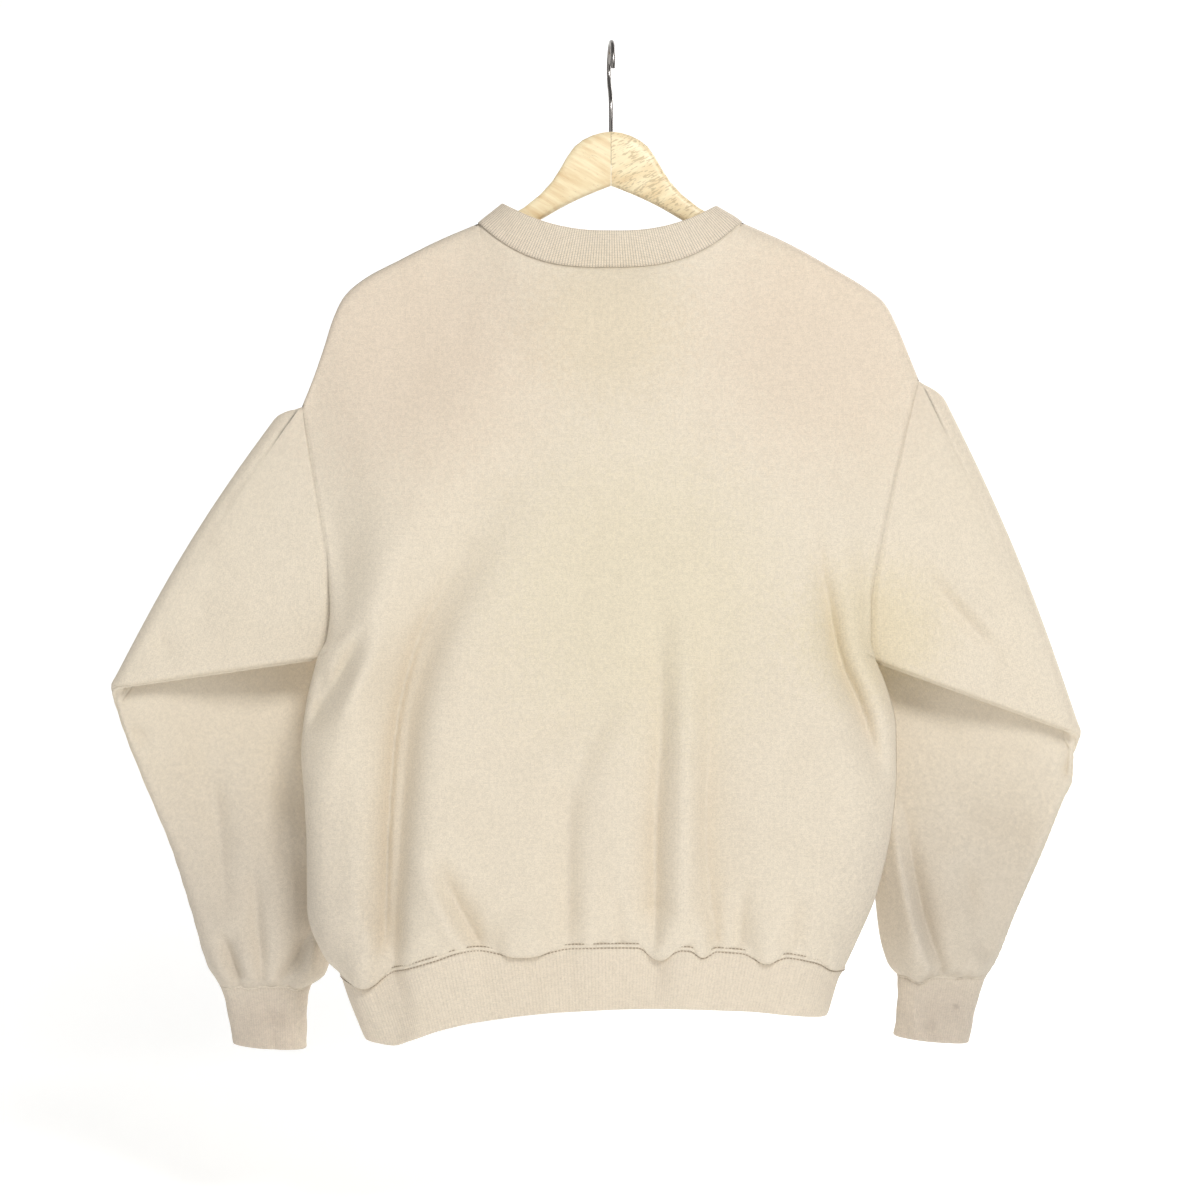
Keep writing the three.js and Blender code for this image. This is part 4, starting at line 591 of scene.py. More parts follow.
def panel_grid(face, fine=1.0, rows=slice(None)):
    """Mid surface of the front or back panel, rows from the waistband seam up, columns left to right."""
    share, top = panel_columns(face)
    height, row_t, at_armhole = ROW_HEIGHT[rows, None], ROW_T[rows], AT_ARMHOLE[rows]
    edge = {}
    for side in SIGN:
        low, high = SIDE_PATH[side](row_t), armhole_point(side, face, row_t)
        edge[side] = np.where(at_armhole[:, None], high[:, ::2], low)[:, None, :]
    bottom = BAND_PATH[face](share)[None]
    ends = SIDE_PATH["left"](0.0), SIDE_PATH["right"](0.0)
    c = share[None, :, None]
    flat_top = top[None, :, ::2]
    outline = lerp(edge["left"], edge["right"], c)
    outline = outline + (bottom - lerp(ends[0], ends[1], c)) * ((1 - height) ** BAND_POWER)[..., None]
    to_top = flat_top - lerp(flat_top[:, :1], flat_top[:, -1:], c)
    outline = outline + to_top * (height**TOP_POWER)[..., None]
    x, z = outline[..., 0], outline[..., 1]
    z = z - pouch(POUCHES[face], x, 2) * ease(1 - height / POUCH_HEIGHT)
    plan = np.stack([x, z], axis=-1)
    below = np.linalg.norm(plan - flat_top, axis=-1)
    inset = np.minimum(*(np.linalg.norm(plan - edge[side], axis=-1) for side in SIGN))

    ridge = lerp(ARMHOLE_END, RIDGE, ease((RIDGE_END - np.abs(x)) / (RIDGE_END - HANGER_TIP)))
    run = lerp(DEPTH_RUN[0], DEPTH_RUN[1], ease(np.abs(x) / RIDGE_END))
    over = shoulder_height(x)
    hanging = lambda level: lerp(ridge, DEPTH_AT[face](level), ease((over - level) / run))
    step = np.abs(top[None, :, 1]) - hanging(np.broadcast_to(top[None, :, 2], x.shape))
    fade = np.where(step < 0, quarter_round(below / ridge), ease(below / NECK_RUN))
    depth = hanging(z) + step * (1 - fade)
    blend = np.where(at_armhole, ease(row_t / ARM_BLEND), 0)[:, None]
    at_edge = lerp(quarter_round(inset / SIDE_ROUND[face]), ease(inset / ARM_ROUND), blend)
    gape = np.where(at_armhole, armhole_depth(row_t), 0)[:, None]
    from_edge = lerp(1 - ease(inset / EDGE_REACH), 1 - at_edge, blend)
    fold_share = ease(inset / FOLD_CLEAR["side"]) * ease(below / FOLD_CLEAR["top"])
    fold_share = fold_share * lerp(BAND_FOLD_SHARE, 1, ease(height / POUCH_HEIGHT))
    rise = np.clip(height / POUCH_HEIGHT, 0, 1) ** POUCH_RISE
    stand = pouch(POUCHES[face], x, 3)
    out = depth * at_edge + gape * from_edge + fold_lift(face, x, z) * fold_share
    out = out + stand * arch(rise) ** POUCH_POWER * ease(inset / FOLD_CLEAR["side"])
    if len(out) > 1:
        near_top = ease(below / NECK_SOFT["start"])
        near_top = near_top * (1 - ease((below - NECK_SOFT["hold"]) / NECK_SOFT["fade"]))
        out = lerp(out, softened(x, out, NECK_SOFT["reach"]), near_top * ease(inset / NECK_SOFT["inset"]))

    up = height * (shoulder_height(0.0) - bottom[0, 0, 1])
    out = out + fine * panel_relief(face, x, z, up, inset, below, blend)
    z = z - fine * OVERHANG * np.clip(stand / POUCH_FULL, 0, 1) * arch(np.clip(height / OVERHANG_SHARE, 0, 1))
    set_back = np.where(at_armhole, 0, SIDE_SET_BACK * arch(row_t) ** 2)[:, None]
    y = -set_back * (1 - ease(inset / SET_BACK_REACH)) + FACE[face] * out
    return np.stack([x, y, z], axis=-1)


def grid_normals(grid, wrap):
    """Normals of a grid of points, from the lines through each point."""
    up = np.gradient(grid, axis=0)
    if wrap:
        across = np.roll(grid, -1, axis=1) - np.roll(grid, 1, axis=1)
    else:
        across = np.gradient(grid, axis=1)
    return unit(np.cross(across, up))


def loop_normals(loop, axis):
    """Normals of a closed loop, away from its inside and square to an axis."""
    normals = unit(np.cross(np.roll(loop, -1, axis=0) - np.roll(loop, 1, axis=0), axis))
    outward = np.sum(normals * (loop - loop.mean(axis=0)))
    return -normals if outward < 0 else normals


DOWN = np.array([0.0, 0.0, -1.0])


def hem_points(face):
    share, _ = panel_columns(face)
    at = HEM_PATH[face](share)
    inset = np.minimum(share, 1 - share) * HEM_ACROSS
    full = DEPTH_AT[face](at[:, 1]) * quarter_round(inset / (SIDE_ROUND[face] * HEM_ROUND))
    out = full + fold_lift(face, at[:, 0], at[:, 1]) * HEM_FOLD_SHARE * ease(inset / HEM_CLEAR)
    return np.stack([at[:, 0], FACE[face] * out, at[:, 1]], axis=-1)


def both_faces(back, front):
    """One closed loop from the left-to-right points of the back and of the front."""
    return np.concatenate([back, front[::-1][1:-1]])


SEAM_LOOP = both_faces(*(panel_grid(face, rows=slice(0, 1))[0] for face in FACE))
HEM_LOOP = both_faces(hem_points("back"), hem_points("front"))
SEAM_NORMALS = loop_normals(SEAM_LOOP, DOWN)


def resample(loop, values, count):
    """Values along a closed loop at evenly spaced places, for several arrays of values."""
    closed = np.concatenate([loop, loop[:1]])
    along = np.concatenate([[0], np.cumsum(np.linalg.norm(np.diff(closed, axis=0), axis=1))])
    at = np.linspace(0, along[-1], count, endpoint=False)
    result = []
    for value in values:
        ring = np.concatenate([value, value[:1]])
        result.append(np.stack([np.interp(at, along, ring[:, k]) for k in range(ring.shape[1])], axis=-1))
    return result


def mesh_object(name, points, faces, uvs, material):
    """A smooth-shaded mesh from points in millimetres, that rides on the garment's body."""
    points = np.asarray(points, float) * MM
    a, b, c = (points[faces[:, k]] for k in (0, 1, 2))
    volume = np.einsum("ij,ij->", a, np.cross(b, c))
    if faces.shape[1] == 4:
        volume += np.einsum("ij,ij->", a, np.cross(c, points[faces[:, 3]]))
    if volume < 0:
        faces, uvs = faces[:, ::-1], uvs[:, ::-1]
    mesh = bpy.data.meshes.new(name)
    mesh.vertices.add(len(points))
    mesh.vertices.foreach_set("co", points.astype(np.float32).ravel())
    mesh.loops.add(faces.size)
    mesh.loops.foreach_set("vertex_index", faces.astype(np.int32).ravel())
    mesh.polygons.add(len(faces))
    mesh.polygons.foreach_set("loop_start", np.arange(0, faces.size, faces.shape[1], dtype=np.int32))
    mesh.update(calc_edges=True)
    mesh.uv_layers.new(name="cloth").data.foreach_set("uv", (uvs * MM).astype(np.float32).ravel())
    mesh.polygons.foreach_set("use_smooth", np.ones(len(faces), bool))
    mesh.validate()
    mesh.materials.append(material)
    piece = bpy.data.objects.new(name, mesh)
    bpy.context.scene.collection.objects.link(piece)
    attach(piece, BODY)
    return piece


def cloth_wall(name, outer, inner, cloth, wrap, material):
    """A closed wall between two grids of points. cloth holds each point's place on the flat cloth."""
    rows, columns = outer.shape[:2]
    index = np.arange(rows * columns).reshape(rows, columns)
    if wrap:
        index = np.concatenate([index, index[:, :1]], axis=1)
    place = np.arange(index.size).reshape(index.shape)
    sheet = cloth.reshape(-1, 2)
    quads, corners = [], []

    def add(order, layers):
        numbers = [index[s].ravel() + k * rows * columns for s, k in zip(order, layers)]
        quads.append(np.stack(numbers, axis=-1))
        corners.append(np.stack([sheet[place[s].ravel()] for s in order], axis=1))

    low, high, left, right = slice(None, -1), slice(1, None), slice(None, -1), slice(1, None)
    add([(low, left), (low, right), (high, right), (high, left)], (0, 0, 0, 0))
    add([(low, left), (high, left), (high, right), (low, right)], (1, 1, 1, 1))
    first, last = slice(0, 1), slice(-1, None)
    add([(first, left), (first, left), (first, right), (first, right)], (0, 1, 1, 0))
    add([(last, left), (last, right), (last, right), (last, left)], (0, 0, 1, 1))
    if not wrap:
        add([(low, first), (high, first), (high, first), (low, first)], (0, 0, 1, 1))
        add([(low, last), (low, last), (high, last), (high, last)], (0, 1, 1, 0))
    points = np.concatenate([outer.reshape(-1, 3), inner.reshape(-1, 3)])
    return mesh_object(name, points, np.concatenate(quads), np.concatenate(corners), material)


def build_panel(face, thickness, fine, material):
    grid = panel_grid(face, fine)
    normals = grid_normals(grid, False)
    normals = normals * np.sign(np.sum(normals[..., 1]) * FACE[face])
    share, _ = panel_columns(face)
    for side, j in (("left", 0), ("right", -1)):
        at_side = in_plane_normal(SIDE_PATH[side], side, ROW_T)
        at_arm = armhole_normal(side, face, ROW_T)
        normals[:, j] = np.where(AT_ARMHOLE[:, None], at_arm, at_side)
    count = len(share)
    loop = np.arange(count) if face == "back" else (len(SEAM_LOOP) - np.arange(count)) % len(SEAM_LOOP)
    normals[0] = SEAM_NORMALS[loop]
    shoulder = len(SHOULDER_T)
    normals[-1, shoulder:-shoulder] = collar_frame(face, NECK_T)[2]
    normals[-1, 1:shoulder] = in_plane_normal(SHOULDER_PATH["left"], "left", SHOULDER_T[1:])
    normals[-1, -shoulder:-1] = in_plane_normal(SHOULDER_PATH["right"], "right", SHOULDER_T[:0:-1])
    offset = normals * thickness / 2
    name = face + "_cloth"
    return cloth_wall(name, grid + offset, grid - offset, grid[..., ::2], False, material)


def sleeve_frame(side):
    """Directions and fold line of a sleeve in the plane of the hanging cloth."""
    underarm, shoulder = ARMHOLE_PATH[side](0.0), ARMHOLE_PATH[side](1.0)
    corner = np.array(ELBOW[side], float)
    along = unit(corner - underarm)
    up = np.array([-along[1], along[0]]) * SIGN[side]
    angle = math.radians(TAPER[side])
    top = along * math.cos(angle) - up * math.sin(angle)
    outwards = lambda d: np.array([d[1], -d[0]]) * (1 if d[1] * along[0] - d[0] * along[1] > 0 else -1)
    start = shoulder + top * FOLD_START
    layers = FOLD_RADIUS + FOLD_LAYERS + HALF_FLEECE
    seam_start = np.linalg.norm(corner - underarm) - layers / np.dot(outwards(unit(corner - shoulder)), along)
    end = underarm + along * seam_start
    line = unit(end - start)
    return {
        "underarm": underarm, "shoulder": shoulder, "along": along, "top": top, "start": start,
        "normal": outwards(line), "seam_start": seam_start, "line": line,
        "length": np.linalg.norm(end - start),
    }


def fold_over(fold, at, off):
    """Folds points of the flat sleeve over the fold line."""
    away = at - fold["start"]
    along = np.clip(away @ fold["line"] / fold["length"], 0, 1)
    past = away @ fold["normal"] - FOLD_BOW * np.sin(np.pi * along)
    angle = np.clip(past / FOLD_RADIUS, 0, np.pi)
    radius = FOLD_RADIUS - off
    reach = np.where(past > 0, radius * np.sin(angle) - np.maximum(0, past - np.pi * FOLD_RADIUS) - past, 0)
    flat = at + reach[:, None] * fold["normal"]
    depth = np.where(past > 0, FOLD_RADIUS - radius * np.cos(angle), off)
    return np.stack([flat[:, 0], depth, flat[:, 1]], axis=-1)


RING_T = np.concatenate([ARMHOLE_T, ARMHOLE_T[::-1][1:-1]])
RING_BACK = np.arange(len(RING_T)) < len(ARMHOLE_T)


def flat_ring(side, fold, share, seam_at, top_at, straight, edge_size, fill, fine):
    """A ring between the armhole and the end of the fold."""
    seam, top = fold["underarm"] + fold["along"] * seam_at, fold["shoulder"] + fold["top"] * top_at
    span = np.linalg.norm(seam - top)
    t = RING_T
    back, front = armhole_point(side, "back", t), armhole_point(side, "front", t)
    at_seam = np.where(RING_BACK[:, None], back, front)
    chord = lerp(fold["underarm"], fold["shoulder"], t[:, None])
    bow = (at_seam[:, ::2] - chord) * (1 - straight)
    bowed = fold["normal"] * (FOLD_BOW * np.sin(np.pi * t) * share)[:, None]
    at = lerp(seam, top, t[:, None]) + bow + bowed
    edge = edge_size * quarter_round(np.minimum(t, 1 - t) * span / edge_size)
    relief = CREASE_GAIN["upper"] * crease_lift(SLEEVE_CREASES[side]["upper"], at[:, 0], at[:, 1])
    relief = relief + waves_of(UPPER_WAVES, at[:, 0], at[:, 1])
    from_hem = share * fold["seam_start"] * (1 - t)
    pucker = np.exp(-((from_hem / PUCKER["reach"]) ** 2)) * np.sin(2 * np.pi * at[:, 1] / PUCKER["wave"])
    relief = relief + PUCKER_SHARE["armhole"] * PUCKER["height"] * pucker
    clear = ease(t * span / UPPER_CLEAR[0]) * ease((1 - t) * span / UPPER_CLEAR[1])
    half = edge + fill * arch(t) + fine * relief * clear * straight
    off = lerp(at_seam[:, 1], np.where(RING_BACK, -half, half), straight)
    return fold_over(fold, at, off)


HANGING_COLUMNS = [smooth_column([row[0] for row in HANGING], [row[k] for row in HANGING]) for k in (1, 2)]


def hanging_ring(side, fold, paths, at_share, fine):
    """A ring of the hanging part. The half that was behind now faces forward."""
    t = RING_T
    edge_size, fill = (float(column(at_share)) for column in HANGING_COLUMNS)
    outer, inner = paths["outer"](at_share), paths["inner"](at_share)
    span = np.linalg.norm(outer - inner)
    at = lerp(outer, inner, t[:, None])
    at = at + fold["normal"] * (FOLD_BOW * np.sin(np.pi * t) * (1 - ease(at_share / BOW_END)))[:, None]
    beyond = -(at - fold["start"]) @ fold["normal"]
    middle = 2 * FOLD_RADIUS + LEAN[side] * ease(beyond / LEAN_RUN)
    edge = edge_size * quarter_round(np.minimum(t, 1 - t) * span / edge_size)
    relief = CREASE_GAIN["lower"] * crease_lift(SLEEVE_CREASES[side]["lower"], at[:, 0], at[:, 1])
    relief = relief + waves_of(LOWER_WAVES, at[:, 0], at[:, 1])
    near_end = ease((at_share - SLEEVE_POUCH_START) / (1 - SLEEVE_POUCH_START))
    swell = arch(near_end**POUCH_POWER)
    back, front = SLEEVE_POUCHES[side]["back"], SLEEVE_POUCHES[side]["front"]
    dip, stand = (np.where(RING_BACK, pouch(back, t, k), pouch(front, t, k)) for k in (2, 3))
    drift = GATHER["drift"] * unevenness(t * span, 0 * t, GATHER["seed"], GATHER["wave"])
    gather = PUCKER_SHARE["cuff"] * PUCKER["height"] * np.sin(2 * np.pi * t * span / PUCKER["wave"] + drift)
    gather = gather * ease((at_share - GATHER["start"]) / GATHER["run"])
    gather = gather * ease((1 - at_share) / GATHER["end"])
    clear = ease(t * span / LOWER_CLEAR) * ease((1 - t) * span / LOWER_CLEAR)
    half = edge + fill * arch(t)
    half = half + fine * (relief * ease((1 - at_share) / CUFF_CLEAR) + stand * swell + gather) * clear
    level = at[:, 1] - dip * ease((at_share - CUFF_DIP_START) / (1 - CUFF_DIP_START))
    return np.stack([at[:, 0], middle + np.where(RING_BACK, half, -half), level], axis=-1)


def sleeve_grid(side, fine):
    """Every ring of a sleeve, from the armhole to the cuff."""
    fold = sleeve_frame(side)
    rings = []
    for share in np.linspace(0, 1, TRIANGLE_STEPS + 1):
        straight = float(ease(share * STRAIGHTEN))
        rings.append(flat_ring(
            side, fold, share, fold["seam_start"] * share, FOLD_START * share, straight,
            lerp(*FLAT_EDGE, share), float(FOLD_LAYERS * arch(share) ** 0.7), fine))
    for share in np.linspace(0, 1, BEND_STEPS + 1)[1:]:
        across = math.pi * FOLD_RADIUS * share
        rings.append(flat_ring(
            side, fold, 1.0, fold["seam_start"] + across / np.dot(fold["normal"], fold["along"]),
            FOLD_START + across / np.dot(fold["normal"], fold["top"]), 1.0, FLAT_EDGE[1], 0.0, 0.0))
    end = rings[-1]
    starts = {"outer": end[0, ::2], "inner": end[len(ARMHOLE_T) - 1, ::2]}
    paths = {key: smooth_path([starts[key], *HANGING_EDGES[side][key]]) for key in starts}
    for share in np.linspace(0, 1, HANGING_STEPS + 1)[1:]:
        rings.append(hanging_ring(side, fold, paths, share, fine))
    return np.array(rings)


def flat_cloth(grid):
    """Place of each point of a wrapped grid on the flat cloth: round the ring, and along the sleeve."""
    closed = np.concatenate([grid, grid[:, :1]], axis=1)
    round_ring = np.linalg.norm(np.diff(closed, axis=1), axis=-1)
    u = np.concatenate([np.zeros((len(grid), 1)), np.cumsum(round_ring, axis=1)], axis=1)
    u = u - u[:, len(ARMHOLE_T) - 1][:, None]
    step = np.linalg.norm(np.diff(grid, axis=0), axis=-1).mean(axis=1)
    v = np.concatenate([[0], np.cumsum(step)])[:, None] * np.ones_like(u)
    return np.stack([u, v], axis=-1)


def cuff_axis(side, end):
    x, z, y = CUFF[side][:3]
    return unit(np.array([x, y, z], float) - end.mean(axis=0))


def sleeve_normals(grid):
    """Normals of a sleeve's rings that point out of it. At the armhole, its back half faces -Y."""
    normals = grid_normals(grid, True)
    return normals * -np.sign(np.sum(normals[: TRIANGLE_STEPS // 2, RING_BACK, 1]))


def armhole_normals(side):
    """Normals of the cloth round a whole armhole."""
    back, front = armhole_normal(side, "back", RING_T), armhole_normal(side, "front", RING_T)
    return np.where(RING_BACK[:, None], back, front)


def build_sleeve(side, grid, thickness, material):
    normals = sleeve_normals(grid)
    normals[0] = armhole_normals(side)
    normals[-1] = loop_normals(grid[-1], cuff_axis(side, grid[-1]))
    offset = normals * thickness / 2
    name = "sleeve_" + side + "_cloth"
    return cloth_wall(name, grid + offset, grid - offset, flat_cloth(grid), True, material)


# Distance from wale to wale on the flat rib cloth, and the shape of a wale
RIB_PITCH = 2.15
RIB_POWER = 0.8
POINTS_PER_WALE = 4
# Rows of a rib tube: evenly spaced down to the first share, and closer together round its free edge
RIB_FLAT_SHARE = 0.9
RIB_EDGE_ROWS = [0.94, 0.97, 0.99, 1.0]
LAYER_GAP = 0.02
# Sewn ridges: half width, height and how deep the edges sink, with the height of their teeth
RIDGES = {
    "armhole": (2.0, 1.2, 0.6), "underarm": (1.8, 0.8, 0.5), "waist": (1.5, 0.55, 0.5),
    "neck": (1.5, 0.55, 0.5), "cuff": (1.3, 0.5, 0.5),
}
RIDGE_POINTS = 9
RIDGE_UNDER = 0.3
TOOTH = 0.16
# Points round each seam, and how far the ribs' seams stand off the fleece
SEAM_POINTS = {"armhole": 420, "waist": 900, "neck": 560, "cuff": 300}
RIB_SEAM_LIFT = 0.3
NECK_SAMPLES = 480
NECK_POINTS = 720
# Two rows of stitches beside a ridge: their distance from it and their lift
STITCHES = {"armhole": (2.3, 0.12), "waist": (1.9, 0.1), "neck": (1.9, 0.1)}
# A stitch: thread radius, and columns share of its length, share of the radius
THREAD = 0.42
THREAD_SUNK = 1.2
STITCH_SHAPE = [(0.06, 0.35), (0.2, 0.95), (0.5, 1.1), (0.76, 0.95), (0.88, 0.35)]
STITCH_SIDES = 6


def rib_tube(name, low, high, low_normals, high_normals, spec, relief, material):
    """A doubled rib tube between two loops, with raised wales outside and a rounded free edge.

    spec holds thickness, height of the wales, number of wales, rows, and the waist as a function.
    relief gives the lift of the cloth for the points of a row and the row's share down."""
    thickness, wale, wales, rows, waist = spec
    count = len(low)
    turn = np.arange(count) / count
    down = np.concatenate([np.linspace(0, RIB_FLAT_SHARE, rows), RIB_EDGE_ROWS])
    length = np.linalg.norm(high - low, axis=1).mean()
    middle_low, middle_high = low.mean(axis=0), high.mean(axis=0)
    outer, inner, cloth = [], [], []
    ridge = (0.5 + 0.5 * np.cos(2 * np.pi * wales * turn)) ** RIB_POWER
    for share in down:
        middle = lerp(middle_low, middle_high, share)
        at = lerp(lerp(low, high, share), middle, waist(share))
        normal = unit(lerp(low_normals, high_normals, share))
        round_edge = float(quarter_round((1 - share) * length / (thickness / 2)))
        at = at + normal * relief(at, share)[:, None]
        out = thickness / 2 * round_edge - wale * (1 - ridge) * min(1.0, round_edge)
        outer.append(at + normal * out[:, None])
        inner.append(at - normal * (thickness / 2 * round_edge + LAYER_GAP))
        # Half a wale is added so that the knit's painted valley shade and its bump fall between the raised
        # wales.
        across = (np.append(turn, 1) * wales + 0.5) * RIB_PITCH
        cloth.append(np.stack([across, np.full(count + 1, share * length)], axis=-1))
    return cloth_wall(name, np.array(outer), np.array(inner), np.array(cloth), True, material)


def even_neck():
    """The neck loop's own parameter as a function of the share of its length."""
    turn = np.linspace(0, 1, NECK_SAMPLES + 1)
    points = neck_loop(turn)
    along = np.concatenate([[0], np.cumsum(np.linalg.norm(np.diff(points, axis=0), axis=1))])
    return lambda share: np.interp(share, along / along[-1], turn)


def neck_loop(turn, value=seam_of_neck):
    """Values round the neck: turn 0 to 0.5 is the back from left to right, and then the front."""
    back, front = value("back", np.clip(turn * 2, 0, 1)), value("front", np.clip(2 - turn * 2, 0, 1))
    return np.where((turn <= 0.5)[:, None], back, front)


def sewing_line(loop, normals, count, lift):
    """Evenly spaced points of a closed seam, lifted off the middle of the cloth, with normals and across."""
    path, normals = resample(loop, (loop, normals), count)
    normals = unit(normals)
    across = unit(np.cross(np.roll(path, -1, axis=0) - np.roll(path, 1, axis=0), normals))
    return path + normals * lift, normals, across


def seam_strip(name, line, size, pitch, material, closed=True):
    """A sewn ridge along a line. size is its half width, its height and how deep its edges sink."""
    path, normals, across = line
    half, height, sink = size
    along = np.concatenate([[0], np.cumsum(np.linalg.norm(np.diff(path, axis=0), axis=1))])
    teeth = 1 + TOOTH * np.sin(2 * np.pi * along / pitch)
    outer, inner = [], []
    for angle in np.linspace(0, np.pi, RIDGE_POINTS):
        beside = path + across * (half * math.cos(angle))
        outer.append(beside + normals * ((height + sink) * math.sin(angle) * teeth - sink)[:, None])
        inner.append(beside - normals * (sink + RIDGE_UNDER))
    u = np.append(along, along[-1] + pitch) if closed else along
    v = np.linspace(0, 3 * half, RIDGE_POINTS)
    cloth = np.stack(np.broadcast_arrays(u[None, :], v[:, None]), axis=-1)
    return cloth_wall(name, np.array(outer), np.array(inner), cloth, closed, material)


def stitch_rows(name, line, offset, lift, pitch, material):
    """A row of thread stitches on either side of a closed line, as one mesh."""
    path, normals, across = line
    steps = np.linalg.norm(np.roll(path, -1, axis=0) - path, axis=1)
    along = np.concatenate([[0], np.cumsum(steps)])
    ring = lambda v: np.concatenate([v, v[:1]])
    at_length = lambda v, s: np.stack([np.interp(s, along, ring(v)[:, k]) for k in range(3)], axis=-1)
    count = int(along[-1] / pitch)
    start = np.arange(count) * along[-1] / count
    points = []
    for beside in (-offset, offset):
        for share, size in STITCH_SHAPE:
            s = start + share * along[-1] / count
            n, a = at_length(normals, s), at_length(across, s)
            centre = at_length(path, s) + a * beside + n * (lift - THREAD * (THREAD_SUNK - size))
            for turn in np.linspace(0, 2 * np.pi, STITCH_SIDES, endpoint=False):
                radius = THREAD * size
                points.append(centre + a * (radius * math.cos(turn)) + n * (radius * math.sin(turn)))
    shape = (2, len(STITCH_SHAPE), STITCH_SIDES, count, 3)
    points = np.array(points).reshape(shape).transpose(0, 3, 1, 2, 4)
    index = np.arange(points.size // 3).reshape(-1, len(STITCH_SHAPE), STITCH_SIDES)
    quads = []
    last = len(STITCH_SHAPE) - 1
    for i in range(last):
        for j in range(STITCH_SIDES):
            k = (j + 1) % STITCH_SIDES
            corners = (index[:, i, j], index[:, i, k], index[:, i + 1, k], index[:, i + 1, j])
            quads.append(np.stack(corners, axis=-1))
    for i, order in ((0, (0, 3, 2, 1)), (0, (0, 5, 4, 3)), (last, (0, 1, 2, 3)), (last, (0, 3, 4, 5))):
        quads.append(np.stack([index[:, i, j] for j in order], axis=-1))
    faces = np.concatenate(quads)
    return mesh_object(name, points.reshape(-1, 3), faces, np.zeros((len(faces), 4, 2)), material)


class Nodes:
    """Adds nodes to one tree and links them."""

    def __init__(self, tree):
        self.tree = tree

    def add(self, kind, settings=None, inputs=None):
        node = self.tree.nodes.new("ShaderNode" + kind)
        for key, value in (settings or {}).items():
            setattr(node, key, value)
        for key, value in (inputs or {}).items():
            if isinstance(value, bpy.types.NodeSocket):
                self.tree.links.new(value, node.inputs[key])
            else:
                node.inputs[key].default_value = value
        return node

    def math(self, operation, *values, clamp=False):
        inputs = dict(enumerate(values))
        return self.add("Math", {"operation": operation, "use_clamp": clamp}, inputs).outputs[0]

    def mix(self, factor, first, second, blend="MIX"):
        settings = {"data_type": "RGBA", "blend_type": blend}
        return self.add("Mix", settings, {0: factor, 6: first, 7: second}).outputs[2]

    def noise(self, vector, scale, detail=2.0, rough=0.5):
        inputs = {"Vector": vector, "Scale": scale, "Detail": detail, "Roughness": rough}
        return self.add("TexNoise", None, inputs).outputs["Fac"]

    def ramp(self, value, low, high, to_low=0.0, to_high=1.0):
        settings = {"interpolation_type": "SMOOTHSTEP"}
        inputs = {"Value": value, "From Min": low, "From Max": high, "To Min": to_low, "To Max": to_high}
        return self.add("MapRange", settings, inputs).outputs[0]


def new_group(name, inputs, outputs):
    """A shader node group with named sockets: (name, kind, default)."""
    tree = bpy.data.node_groups.new(name, "ShaderNodeTree")
    for socket, kind, default in inputs:
        made = tree.interface.new_socket(name=socket, in_out="INPUT", socket_type="NodeSocket" + kind)
        if default is not None:
            made.default_value = default
    for socket, kind in outputs:
        tree.interface.new_socket(name=socket, in_out="OUTPUT", socket_type="NodeSocket" + kind)
    source, sink = tree.nodes.new("NodeGroupInput"), tree.nodes.new("NodeGroupOutput")
    return tree, Nodes(tree), source.outputs, sink.inputs


def knit_group():
    """Columns of small V-shaped loops over the flat cloth, and loose fibres on top."""
    tree, n, given, out = new_group(
        "knit_loops", [("Cloth", "Vector", None), ("Wale", "Float", 0.001), ("Course", "Float", 0.001)],
        [("Height", "Float"), ("Fibre", "Float")])
    split = n.add("SeparateXYZ", None, {0: given["Cloth"]})
    wale = n.math("FRACT", n.math("DIVIDE", split.outputs[0], given["Wale"]))
    side = n.math("ABSOLUTE", n.math("SUBTRACT", wale, 0.5))
    course = n.math("ADD", n.math("DIVIDE", split.outputs[1], given["Course"]), n.math("MULTIPLY", side, 1.1))
    row = n.math("ABSOLUTE", n.math("SUBTRACT", n.math("FRACT", course), 0.5))
    column = n.ramp(side, 0.5, 0.3)
    loop = n.ramp(row, 0.5, 0.18)
    arms = n.math("ADD", n.math("MULTIPLY", loop, 0.6), 0.4)
    n.tree.links.new(n.math("MULTIPLY", column, arms), out["Height"])
    fibre = n.noise(given["Cloth"], 900.0, 4.0, 0.65)
    n.tree.links.new(fibre, out["Fibre"])
    return tree


def mottle_group():
    """Soft uneven wear of washed cotton: large clouds, smaller blotches and faint slubs along the knit."""
    tree, n, given, out = new_group(
        "washed_cotton", [("Place", "Vector", None), ("Cloth", "Vector", None), ("Size", "Float", 5.0)],
        [("Cloud", "Float"), ("Blotch", "Float"), ("Slub", "Float")])
    cloud = n.noise(given["Place"], given["Size"], 2.0, 0.5)
    n.tree.links.new(n.ramp(cloud, 0.3, 0.7), out["Cloud"])
    blotch = n.noise(given["Place"], n.math("MULTIPLY", given["Size"], 7.0), 4.0, 0.6)
    n.tree.links.new(n.ramp(blotch, 0.3, 0.72), out["Blotch"])
    long = n.add("VectorMath", {"operation": "MULTIPLY"}, {0: given["Cloth"], 1: (70.0, 900.0, 1.0)})
    n.tree.links.new(n.ramp(n.noise(long.outputs[0], 1.0, 2.0, 0.6), 0.35, 0.75), out["Slub"])
    return tree


